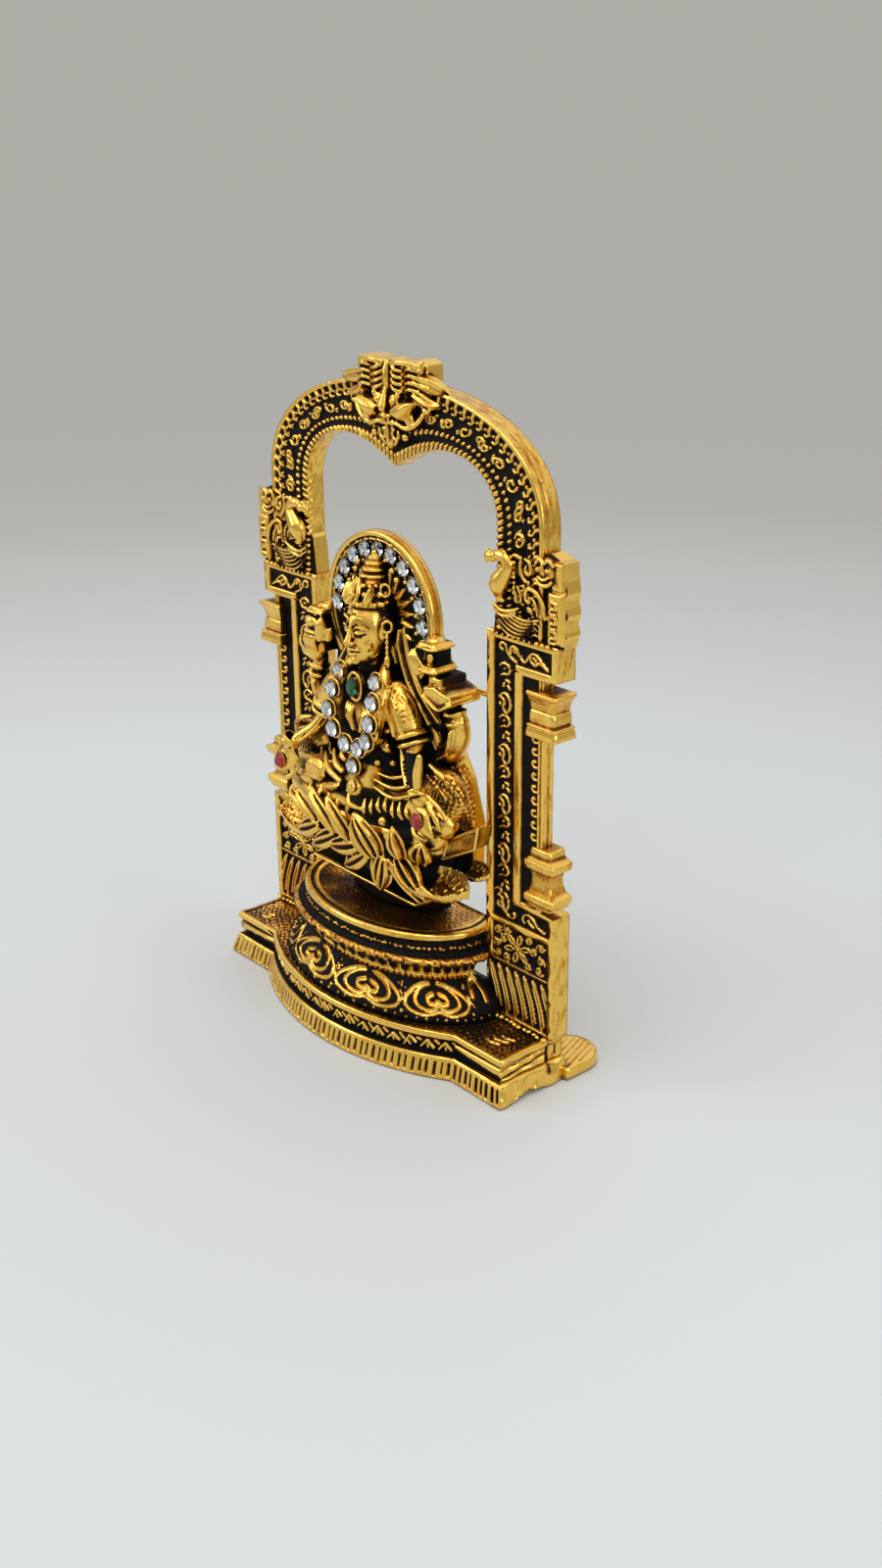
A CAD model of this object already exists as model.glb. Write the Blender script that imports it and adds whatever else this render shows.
from functools import partial
from math import cos, pi, radians, sin
import bpy
import numpy as np
from mathutils import Matrix, Vector


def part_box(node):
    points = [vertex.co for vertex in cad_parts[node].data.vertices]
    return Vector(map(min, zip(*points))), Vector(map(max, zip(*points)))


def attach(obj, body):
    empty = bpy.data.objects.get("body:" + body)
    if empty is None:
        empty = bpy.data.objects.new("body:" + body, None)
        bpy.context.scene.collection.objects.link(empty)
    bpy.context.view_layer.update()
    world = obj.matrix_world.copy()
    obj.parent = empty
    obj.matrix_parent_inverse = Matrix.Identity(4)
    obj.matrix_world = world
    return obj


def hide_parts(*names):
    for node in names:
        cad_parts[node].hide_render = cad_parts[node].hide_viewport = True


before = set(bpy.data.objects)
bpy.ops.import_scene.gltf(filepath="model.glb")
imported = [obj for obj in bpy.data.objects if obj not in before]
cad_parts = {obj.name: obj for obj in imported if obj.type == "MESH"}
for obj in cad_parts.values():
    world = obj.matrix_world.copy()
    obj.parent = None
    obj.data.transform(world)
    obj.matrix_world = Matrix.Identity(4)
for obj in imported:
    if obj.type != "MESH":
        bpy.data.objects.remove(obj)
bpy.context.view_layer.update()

# Gold-plated cast idol, in millimetres here and in metres once a mesh is made.
# X runs across, Y to the back, Z up, and the arch's front face is at Y 0.
mm = 0.001
coarser = 1  # grids, while something is tried out


def nodeBox(name):
    low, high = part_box(name)
    return np.array(low) / mm, np.array(high) / mm


plinthLow, plinthHigh = nodeBox("plinth")
frameLow, frameHigh = nodeBox("arch_frame")
figureLow, figureHigh = nodeBox("goddess")
seatZ = figureLow[2]


# Shapes: a part is its points, its quads, its triangles and how black each point is

def part(points, quads=(), triangles=(), black=None):
    points = np.asarray(points, float).reshape(-1, 3)
    black = np.zeros(len(points)) if black is None else np.asarray(black, float).ravel()
    return points, np.asarray(quads, int).reshape(-1, 4), np.asarray(triangles, int).reshape(-1, 3), black


def join(parts):
    points, quads, triangles, blacks, offset = [], [], [], [], 0
    for own in parts:
        points.append(own[0])
        quads.append(own[1] + offset)
        triangles.append(own[2] + offset)
        blacks.append(own[3])
        offset += len(own[0])
    return tuple(np.concatenate(group) for group in (points, quads, triangles, blacks))


def mirror(own):
    return own[0] * [-1, 1, 1], own[1][:, ::-1], own[2][:, ::-1], own[3]


def bothSides(parts):
    return list(parts) + [mirror(own) for own in parts]


# Rows of points as a skin. Wrapped rows are closed rings, and their ends are capped.
def skin(rows, wrap=False, black=None):
    rows = np.asarray(rows, float)
    count, across = rows.shape[:2]
    index = np.arange(count * across).reshape(count, across)
    if wrap:
        index = np.concatenate([index, index[:, :1]], 1)
    quads = np.stack([index[:-1, :-1], index[:-1, 1:], index[1:, 1:], index[1:, :-1]], -1).reshape(-1, 4)
    points = rows.reshape(-1, 3)
    black = np.zeros(len(points)) if black is None else np.asarray(black, float).ravel()
    triangles = np.zeros((0, 3), int)
    if wrap:
        ends = []
        for row, order in ((0, 1), (count - 1, -1)):
            middle = len(points)
            points = np.concatenate([points, rows[row].mean(0)[None]])
            black = np.append(black, black[index[row, 0]])
            edge = index[row]
            fan = np.stack([edge[1:], edge[:-1], np.full(across, middle)], -1)
            ends.append(fan[:, ::order])
        triangles = np.concatenate(ends)
    return part(points, quads, triangles, black)


# A smooth line through a few points, and values spread along it in the same way.
def smoothLine(points, count):
    points = np.asarray(points, float)
    if points.ndim == 1:
        points = points[:, None]
    padded = np.concatenate([2 * points[:1] - points[1:2], points, 2 * points[-1:] - points[-2:-1]])
    t = np.linspace(0, len(points) - 1, count)
    k = np.minimum(t.astype(int), len(points) - 2)
    u = (t - k)[:, None]
    a, b, c, d = (padded[k + i] for i in range(4))
    return 0.5 * (2 * b + (c - a) * u + (2 * a - 5 * b + 4 * c - d) * u ** 2
        + (3 * b - a - 3 * c + d) * u ** 3)


# Even angles all the way round.
def fullTurn(count):
    return np.linspace(0, 2 * np.pi, count, endpoint=False)


def unit(v):
    v = np.asarray(v, float)
    return v / np.maximum(np.linalg.norm(v, axis=-1, keepdims=True), 1e-9)


# A rod with round ends. Flat is its thickness along the facing direction, against its width.
def rod(path, radius, facing=(0, -1, 0), flat=1.0, sides=10, step=0.28):
    path = np.asarray(path, float)
    length = np.linalg.norm(np.diff(path, axis=0), axis=1).sum()
    count = max(int(length / step), 3 * len(path))
    line = smoothLine(path, count)
    radii = (smoothLine(np.atleast_1d(radius), count)[:, 0] if np.ndim(radius)
        else np.full(count, float(radius)))
    along = unit(np.gradient(line, axis=0))
    head, tail = radii[0], radii[-1]
    before = [line[0] - along[0] * head * s for s in (0.97, 0.7)]
    after = [line[-1] + along[-1] * tail * s for s in (0.7, 0.97)]
    line = np.concatenate([before, line, after])
    radii = np.concatenate([[0.24 * head, 0.71 * head], radii, [0.71 * tail, 0.24 * tail]])
    along = np.concatenate([along[:1]] * 2 + [along] + [along[-1:]] * 2)
    across = unit(np.cross(along, unit(facing)))
    out = np.cross(across, along)
    angle = fullTurn(sides)
    ring = across[:, None] * np.cos(angle)[None, :, None] + out[:, None] * np.sin(angle)[None, :, None] * flat
    return skin(line[:, None] + ring * radii[:, None, None], wrap=True)


# A rounded lump, turned about Y by a tilt in degrees.
def lump(centre, size, tilt=0.0, around=20, down=12):
    size = np.broadcast_to(np.asarray(size, float), 3)
    angle = fullTurn(around)
    fall = np.linspace(0.08, np.pi - 0.08, down)
    x = np.sin(fall)[:, None] * np.cos(angle) * size[0]
    y = np.sin(fall)[:, None] * np.sin(angle) * size[1]
    z = np.cos(fall)[:, None] * np.ones(around) * size[2]
    c, s = cos(radians(tilt)), sin(radians(tilt))
    return skin(np.stack([x * c + z * s, y, z * c - x * s], -1) + np.asarray(centre, float), wrap=True)


# A lump so small that few faces do.
def bead(centre, size):
    return lump(centre, size, around=8, down=6)


# A pointed leaf from root to tip, with ribs along it. Bend lifts its middle along the facing direction.
def leaf(root, tip, width, thick=0.8, facing=(0, -1, 0), bend=0.0, ribs=0, ribDepth=0.22, blunt=0.5,
        lean=0.0):
    root, tip = np.asarray(root, float), np.asarray(tip, float)
    steps, span = 16, max(6 * ribs, 8)
    t = np.linspace(0, 1, steps)[:, None]
    along = tip - root
    across = unit(np.cross(along, unit(facing)))
    out = np.cross(across, unit(along))
    half = width / 2 * np.clip(np.sin(np.pi * np.clip(0.14 + 0.86 * t, 0, 1)) ** blunt, 0.05, 1)
    half = half * (1 - 0.25 * t)
    v = np.linspace(-1, 1, span + 1)[None, :]
    lift = thick * (1 - v ** 2) ** 0.6 * np.minimum(1, 5 * (1.02 - t))
    if ribs:
        lift = lift + ribDepth * np.cos(np.pi * ribs * v * 0.98) * (1 - v ** 4)
    middle = root + along * t + out * bend * np.sin(np.pi * t * 0.8) + across * lean * np.sin(np.pi * t)
    front = middle[:, None] + across * (v * half)[..., None] + out * lift[..., None]
    rear = middle[:, None] + across * (v * half * 0.9)[..., None] - out * thick * 0.5
    return skin(np.concatenate([front, rear[:, ::-1]], 1), wrap=True)


# An upright slab between two depths, from an outline of [x, z] corners that goes round it once.
def slab(outline, front, back, edge=0.15):
    outline = np.asarray(outline, float)
    middle = outline.mean(0)
    inner = outline + unit(middle - outline) * edge
    rows = []
    for line, y in ((inner, front), (outline, front + edge), (outline, back - edge), (inner, back)):
        rows.append(np.stack([line[:, 0], np.full(len(line), y), line[:, 1]], -1))
    return skin(rows, wrap=True)


def block(x0, x1, y0, y1, z0, z1, edge=0.15):
    return slab([[x0, z0], [x1, z0], [x1, z1], [x0, z1]], y0, y1, edge)


# Rods and lumps from the rows of a table. At turns a row's place into a point of the idol.
def rodsFrom(rows, at):
    return [rod([at(*spot) for spot in path], radii, sides=sides) for radii, sides, *path in rows]


def lumpsFrom(rows, at):
    return [lump(at(x, y, z), size) for x, y, z, size in rows]


# Reliefs: heights over a surface, from distances in millimetres

def bump(distance, width, sharp=2.0):
    return np.clip(1 - (np.abs(distance) / (width / 2)) ** sharp, 0, 1) ** 0.7


def step(value, width=0.15):
    return np.clip(value / width + 0.5, 0, 1)


def between(value, low, high, width=0.15):
    return step(value - low, width) * step(high - value, width)


# Distance from every place (u, v) to a line of points.
def lineDistance(u, v, line):
    best = np.full(u.shape, 99.0)
    for (au, av), (bu, bv) in zip(line[:-1], line[1:]):
        du, dv = bu - au, bv - av
        t = np.clip(((u - au) * du + (v - av) * dv) / max(du * du + dv * dv, 1e-9), 0, 1)
        best = np.minimum(best, np.hypot(u - au - t * du, v - av - t * dv))
    return best


# Raises a thin line over the heights, only near it. A line of one point is a bead.
def draw(height, u, v, line, width, rise):
    line = np.asarray(line, float)
    if len(line) == 1:
        line = np.repeat(line, 2, 0)
    low, high = line.min(0) - width, line.max(0) + width
    near = (u > low[0]) & (u < high[0]) & (v > low[1]) & (v < high[1])
    if near.any():
        height[near] = np.maximum(height[near], rise * bump(lineDistance(u[near], v[near], line), width))


# A vine curl: a round head that winds in and a short tail with a turned end, one across before it is scaled.
def vine(centre, size, turned=0.0, hand=1):
    line = smoothLine([(1.3, -0.75), (0.75, -1.0), (0.1, -0.85), (-0.6, -0.45), (-0.8, 0.3), (-0.35, 0.95),
        (0.4, 0.9), (0.75, 0.3), (0.4, -0.25), (-0.1, -0.05), (0.05, 0.35)], 30) * [1, hand]
    c, s = cos(turned), sin(turned)
    return line @ np.array([[c, s], [-s, c]]) * size + np.asarray(centre, float)


rippleWaves = 10


# Soft unevenness of about one up and down: waves in random directions, as long as the grain is wide.
def rippleNoise(u, v, grain, seed):
    rng = np.random.default_rng(seed)
    total = 0
    for _ in range(rippleWaves):
        angle, phase = rng.uniform(0, 2 * np.pi, 2)
        total = total + np.sin((u * cos(angle) + v * sin(angle)) * 2 * np.pi / grain + phase)
    return total / 4.5


# Lifts a grid of points along its own normals. Hand is 1 or -1, so that the normals point out.
def raised(base, height, hand=1):
    normal = unit(np.cross(np.gradient(base, axis=1), np.gradient(base, axis=0))) * hand
    return base + normal * height[..., None]


# Materials

def linear(hexColour):
    values = [int(hexColour[i:i + 2], 16) / 255 for i in (0, 2, 4)]
    return [v / 12.92 if v <= 0.04045 else ((v + 0.055) / 1.055) ** 2.4 for v in values] + [1.0]


def newMaterial(name):
    material = bpy.data.materials.new(name)
    material.use_nodes = True
    tree = material.node_tree
    return material, tree, tree.nodes["Principled BSDF"]


# Adds a shader node, sets what is named, and links its inputs from other nodes' outputs.
def addNode(tree, kind, links=None, inputs=None, **settings):
    node = tree.nodes.new("ShaderNode" + kind)
    for key, value in settings.items():
        setattr(node, key, value)
    for key, value in (inputs or {}).items():
        node.inputs[key].default_value = value
    for key, output in (links or {}).items():
        tree.links.new(output, node.inputs[key])
    return node


# What a range node takes: the range that goes in and the range that comes out.
def limits(*bounds):
    return dict(zip(("From Min", "From Max", "To Min", "To Max"), bounds))


def setRamp(node, stops):
    ramp = node.color_ramp
    while len(ramp.elements) < len(stops):
        ramp.elements.new(0.5)
    for element, (place, colour) in zip(ramp.elements, stops):
        element.position = place
        element.color = colour


castingLook = {
    "gold": "f7c95c",  # plating where it is bright
    "deepGold": "cc8a24",  # plating beside the recesses
    "stain": "5f350a",  # thin patina over gold
    "patina": "0a0806",  # black antiquing left in the recesses
    "sheenGrain": 0.45,  # mm, cast grain under the plating
    "swell": 2.2,  # mm, slow unevenness of the casting
    "stainPatch": 3.0,  # mm, clouds of thin patina
    "pit": 0.9,  # mm, deep shade reaches this far
    "fromBlack": {  # from how black, to how black, and what the shader gets at both ends
        "Metallic": (0.5, 0.85, 1.0, 0.0),
        "Roughness": (0.1, 0.8, 0.2, 0.62),
        "Coat Weight": (0.4, 0.75, 0.22, 0.0),
        "Specular IOR Level": (0.5, 0.8, 0.5, 0.14),
    },
}


# Zinc alloy casting, gold plated, blackened and rubbed back, then lacquered: mirror-like yellow on what
# stands out, amber next to the recesses and a dull black inside them.
def goldPlatedZinc(name="goldPlatedZinc", grain=1.0):
    look = castingLook
    material, tree, shader = newMaterial(name)
    place = addNode(tree, "TexCoord").outputs["Object"]
    black = addNode(tree, "Attribute", attribute_name="tarnish").outputs["Fac"]
    shade = addNode(tree, "AmbientOcclusion", samples=4, inputs={"Distance": look["pit"] * mm})
    hollow = addNode(tree, "MapRange", {"Value": shade.outputs["AO"]}, limits(0.75, 0.2, 0, 0.55))
    cloud = addNode(tree, "TexNoise", {"Vector": place},
        {"Scale": 1 / (look["stainPatch"] * mm), "Detail": 4.0, "Roughness": 0.6})
    cloudShare = addNode(tree, "MapRange", {"Value": cloud.outputs["Fac"]}, limits(0.35, 0.72, -0.07, 0.13))
    speck = addNode(tree, "TexNoise", {"Vector": place},
        {"Scale": 1 / (look["sheenGrain"] * mm), "Detail": 3.0, "Roughness": 0.65})
    speckShare = addNode(tree, "MapRange", {"Value": speck.outputs["Fac"]}, limits(0.3, 0.7, -0.08, 0.08))
    for more in (hollow, cloudShare, speckShare):
        black = addNode(tree, "Math", {0: black, 1: more.outputs[0]}, operation="ADD").outputs[0]
    colour = addNode(tree, "ValToRGB", {"Fac": black})
    setRamp(colour, [(0.1, linear(look["gold"])), (0.3, linear(look["deepGold"])),
        (0.5, linear(look["stain"])), (0.72, linear(look["patina"]))])
    swell = addNode(tree, "TexNoise", {"Vector": place}, {"Scale": 1 / (look["swell"] * mm), "Detail": 2.0})
    wavy = addNode(tree, "Bump", {"Height": swell.outputs["Fac"]}, {"Strength": 0.5, "Distance": 0.16 * mm})
    fine = addNode(tree, "Bump", {"Height": speck.outputs["Fac"], "Normal": wavy.outputs[0]},
        {"Strength": min(0.35 * grain, 1.0), "Distance": 0.05 * mm})
    tree.links.new(colour.outputs[0], shader.inputs["Base Color"])
    tree.links.new(fine.outputs[0], shader.inputs["Normal"])
    for socket, bounds in look["fromBlack"].items():
        share = addNode(tree, "MapRange", {"Value": black}, limits(*bounds))
        tree.links.new(share.outputs[0], shader.inputs[socket])
    shader.inputs["Coat Roughness"].default_value = 0.14
    return material


# Cut glass: hard and clear, with sharp small reflections from each facet.
def cutGlass(name, hexColour):
    material, tree, shader = newMaterial(name)
    place = addNode(tree, "TexCoord").outputs["Object"]
    smear = addNode(tree, "TexNoise", {"Vector": place}, {"Scale": 1 / (0.8 * mm), "Detail": 2.0})
    rough = addNode(tree, "MapRange", {"Value": smear.outputs["Fac"]}, limits(0.4, 0.8, 0, 0.08))
    tree.links.new(rough.outputs[0], shader.inputs["Roughness"])
    shader.inputs["Base Color"].default_value = linear(hexColour)
    shader.inputs["Transmission Weight"].default_value = 1.0
    shader.inputs["IOR"].default_value = 1.55
    return material


# Vacuum-silvered foil on the back of the glass: a mirror, a little tired.
def silverFoil(name, hexColour):
    material, tree, shader = newMaterial(name)
    place = addNode(tree, "TexCoord").outputs["Object"]
    haze = addNode(tree, "TexNoise", {"Vector": place}, {"Scale": 1 / (1.1 * mm), "Detail": 3.0})
    tint = addNode(tree, "ValToRGB", {"Fac": haze.outputs["Fac"]})
    deep = [value * 0.6 for value in linear(hexColour)[:3]] + [1.0]
    setRamp(tint, [(0.35, deep), (0.6, linear(hexColour))])
    tree.links.new(tint.outputs[0], shader.inputs["Base Color"])
    shader.inputs["Metallic"].default_value = 1.0
    shader.inputs["Roughness"].default_value = 0.1
    return material


gilt = goldPlatedZinc()
roughGilt = goldPlatedZinc("roughCastGilt", grain=2.6)


# Meshes

def meshOf(name, own):
    points, quads, triangles, black = own
    mesh = bpy.data.meshes.new(name)
    mesh.vertices.add(len(points))
    mesh.vertices.foreach_set("co", (points * mm).astype(np.float32).ravel())
    corners = np.concatenate([quads.ravel(), triangles.ravel()]).astype(np.int32)
    mesh.loops.add(len(corners))
    mesh.loops.foreach_set("vertex_index", corners)
    starts = np.concatenate([np.arange(len(quads)) * 4, len(quads) * 4 + np.arange(len(triangles)) * 3])
    mesh.polygons.add(len(starts))
    mesh.polygons.foreach_set("loop_start", starts.astype(np.int32))
    mesh.update(calc_edges=True)
    mesh.validate()
    return mesh


def addObject(name, data):
    thing = bpy.data.objects.new(name, data)
    bpy.context.scene.collection.objects.link(thing)
    return thing


# Makes what the modifiers give the piece's own mesh.
def applyModifiers(piece):
    before = piece.data
    mesh = bpy.data.meshes.new_from_object(piece.evaluated_get(bpy.context.evaluated_depsgraph_get()))
    piece.modifiers.clear()
    piece.data = mesh
    bpy.data.meshes.remove(before)
    return mesh


def setTarnish(mesh, black):
    attribute = mesh.attributes.new("tarnish", "FLOAT", "POINT")
    attribute.data.foreach_set("value", np.clip(black, -0.5, 1).astype(np.float32))


def vectorsOf(mesh, what):
    values = np.zeros(len(mesh.vertices) * 3, np.float32)
    mesh.vertices.foreach_get(what, values)
    return values.reshape(-1, 3).astype(float)


def edgesOf(mesh):
    ends = np.zeros(len(mesh.edges) * 2, np.int32)
    mesh.edges.foreach_get("vertices", ends)
    return ends.reshape(-1, 2)


# Each point moves part of the way to the middle of its neighbours, again and again.
def relaxed(places, edges, share, times):
    count = len(places)
    a, b = edges[:, 0], edges[:, 1]
    around = np.maximum(np.bincount(a, minlength=count) + np.bincount(b, minlength=count), 1)[:, None]
    for _ in range(times):
        total = np.stack([
            np.bincount(a, places[b, k], count) + np.bincount(b, places[a, k], count) for k in range(3)
        ], -1)
        places = places + (total / around - places) * share
    return places


# Mean of a grid over a square window, by running sums, taken twice so that it is soft.
def windowMean(grid, reach):
    for axis in (0, 1, 0, 1):
        pad = [(reach + 1, reach) if k == axis else (0, 0) for k in (0, 1)]
        total = np.cumsum(np.pad(grid, pad), axis)
        count = grid.shape[axis]
        high = np.take(total, np.arange(count) + 2 * reach + 1, axis)
        grid = (high - np.take(total, np.arange(count), axis)) / (2 * reach + 1)
    return grid


# Black that rubbing back leaves: from each of a few sides, what lies below the surface around it
# isn't reached.
def notRubbed(places, normals, keep=0.5, reach=1.2, cell=0.2):
    black = np.ones(len(places))
    for toward in ((0, -1, 0), (0.75, -0.66, 0), (-0.75, -0.66, 0), (1, 0, 0.1), (-1, 0, 0.1),
            (0, -0.6, 0.8), (0, 1, 0)):
        toward = unit(toward)
        across = unit(np.cross(toward, (0, 0, 1)))
        up = np.cross(across, toward)
        u, v = ((places @ axis - (places @ axis).min()) / cell for axis in (across, up))
        u, v = u.astype(int), v.astype(int)
        out = places @ toward
        top = np.full((u.max() + 1, v.max() + 1), -1e9)
        np.maximum.at(top, (u, v), out)
        full = top > -1e8
        share = np.maximum(windowMean(full.astype(float), int(reach / cell / 2)), 1e-3)
        level = windowMean(np.where(full, top, 0.0), int(reach / cell / 2)) / share
        deep = level[u, v] - out
        gold = np.clip((keep - deep) / (keep * 0.9), 0, 1) * np.clip((normals @ toward) * 2.5 - 0.4, 0, 1)
        black = np.minimum(black, 1 - gold)
    return black


# Welds overlapping parts into one casting: remeshed, softened, and blackened where it is hollow.
def weld(name, parts, voxel, soften=3, reach=14, ground=None, rub=0.0, keep=0.5, stippled=None):
    piece = addObject(name, meshOf(name, join(parts)))
    modifier = piece.modifiers.new("weld", "REMESH")
    modifier.mode = "VOXEL"
    modifier.voxel_size = voxel * coarser * mm
    mesh = applyModifiers(piece)
    edges = edgesOf(mesh)
    places = relaxed(vectorsOf(mesh, "co"), edges, 0.5, soften)
    mesh.vertices.foreach_set("co", places.astype(np.float32).ravel())
    mesh.update()
    normals = vectorsOf(mesh, "normal")
    near = relaxed(places, edges, 0.6, reach)
    far = relaxed(near, edges, 0.6, reach * 4)
    hollow = ((near - places) * normals).sum(1) / mm * 9 + ((far - places) * normals).sum(1) / mm * 3
    black = np.clip(hollow, 0, 1)
    places = places / mm
    if rub:
        black = np.clip(np.maximum(black, notRubbed(places, normals, keep) * rub), 0, 1)
    if ground is not None:
        shade = ground(places, normals)
        black = np.maximum(black, shade) * (1 - np.clip(-shade, 0, 1))
    if stippled is not None:
        share = stippled(places, normals)
        weight = normals ** 2
        grain = sum(weight[:, k] * rippleNoise(places[:, (k + 1) % 3], places[:, (k + 2) % 3], 0.6, 71 + k)
            for k in range(3))
        black = black * (1 - share) + np.clip(0.24 - grain * 0.4, 0, 0.85) * share
        places = places + normals * (share * 0.075 * grain)[:, None]
        mesh.vertices.foreach_set("co", (places * mm).astype(np.float32).ravel())
    setTarnish(mesh, black)
    return piece


# A piece from sheets whose black is drawn already.
def sheetPiece(name, parts):
    own = join(parts)
    mesh = meshOf(name, own)
    setTarnish(mesh, own[3])
    return addObject(name, mesh)


pieceSizes = {}
keptShare = 0.47  # of a carved piece's triangles, the flat areas giving up the most
mostTriangles = 180_000  # in one piece


# Fewer triangles, with the large faces leading the shading.
def thinOut(piece):
    piece.data.calc_loop_triangles()
    fewer = piece.modifiers.new("thin", "DECIMATE")
    fewer.ratio = min(keptShare, mostTriangles / len(piece.data.loop_triangles))
    even = piece.modifiers.new("even", "WEIGHTED_NORMAL")
    even.mode = "FACE_AREA_WITH_ANGLE"
    applyModifiers(piece)


def place(piece, nodes, slotName, *materials, flat=False):
    piece.data.polygons.foreach_set("use_smooth", np.full(len(piece.data.polygons), not flat))
    if not flat:
        thinOut(piece)
    mesh = piece.data
    for material in materials:
        mesh.materials.append(material)
    mesh.update()
    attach(piece, "root")
    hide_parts(*nodes)
    mesh.calc_loop_triangles()
    pieceSizes[piece.name] = len(mesh.loop_triangles)
    print(f"{piece.name}: {pieceSizes[piece.name]} triangles")


def gild(piece, node, plating=gilt):
    place(piece, [node], "gilt_casting", plating)


# Spreads samples along a line of corners at an even distance.
def sampled(corners, spacing):
    corners = np.asarray(corners, float)
    lengths = np.concatenate([[0], np.cumsum(np.linalg.norm(np.diff(corners, axis=0), axis=1))])
    at = np.linspace(0, lengths[-1], max(int(lengths[-1] / (spacing * coarser)), 4))
    return np.stack([np.interp(at, lengths, corners[:, k]) for k in range(corners.shape[1])], -1)


def spread(low, high, spacing):
    return np.linspace(low, high, max(int(abs(high - low) / (spacing * coarser)), 3))


# Plinth: fluted lower moulding, banded upper one, grainy top and two rear feet

plinthLook = {
    "bowHalf": 20.5,
    "bowReach": 6,
    "blockFront": -9,
    "half": 30,
    "back": 3.2,
    "top": 6.5,
    "bowLength": 43.3,  # along the outline
    "blockLength": 9.5,
    "sideLength": 12.2,
    "slots": (9, 42),  # dark slots on each end block and on the bow
    "slotWidth": 0.46,
    "slotDepth": 0.36,
    "leafBand": (3.12, 5.45),  # height
    "zigzags": 17,
    "footRadius": 3.9,
    "footTop": 1.8,
    "footReach": 7.2,  # behind the plinth
    "marks": [  # short curved marks on the top
        [(23.2, -5), (24.2, -5.5), (25.6, -5.2)], [(23.6, -4.2), (24.8, -4.5), (26.2, -4)],
        [(24.4, -3.4), (25.4, -3.5), (26.4, -3.1)], [(-26.2, -5.4), (-25.3, -6.1), (-24.5, -5.5)],
        [(-25.9, -4.7), (-25.2, -5.1), (-24.6, -4.7)],
    ],
    "profile": [  # height and how far in
        (0, 0.2), (0.2, 0), (2.6, 0.66), (2.95, 0.85), (3.08, 1.2), (3.12, 1.7), (3.3, 1.75),
        (5.25, 1.65), (5.45, 1.5), (5.52, 1.05), (5.75, 0.85), (6.3, 0.88), (6.5, 1.05), (6.5, 1.55),
        (6.32, 1.75), (6.3, 2.3),
    ],
}


# Radius of the bow, and how far back the middle of its circle lies.
def bowArc():
    look = plinthLook
    radius = (look["bowHalf"] ** 2 + look["bowReach"] ** 2) / (2 * look["bowReach"])
    return radius, look["blockFront"] - look["bowReach"] + radius


# Where the places of a level lie: on the left side, left block, bow, right block, right side or back.
def plinthOutline(inset, kind, t):
    look = plinthLook
    radius, centre = bowArc()
    front = look["blockFront"] + inset
    radius = radius - inset
    joint = np.sqrt(radius ** 2 - (centre - front) ** 2)
    angle = (2 * t - 1) * np.arcsin(joint / radius)
    side = look["half"] - inset
    back = look["back"]
    where = [kind == k for k in range(5)]
    x = np.select(where, [-side, -side + t * (side - joint), np.sin(angle) * radius,
        joint + t * (side - joint), side], (1 - 2 * t) * side)
    y = np.select(where, [back + t * (front - back), front, centre - np.cos(angle) * radius, front,
        front + t * (back - front)], back + 0 * front)
    return x, y


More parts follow.
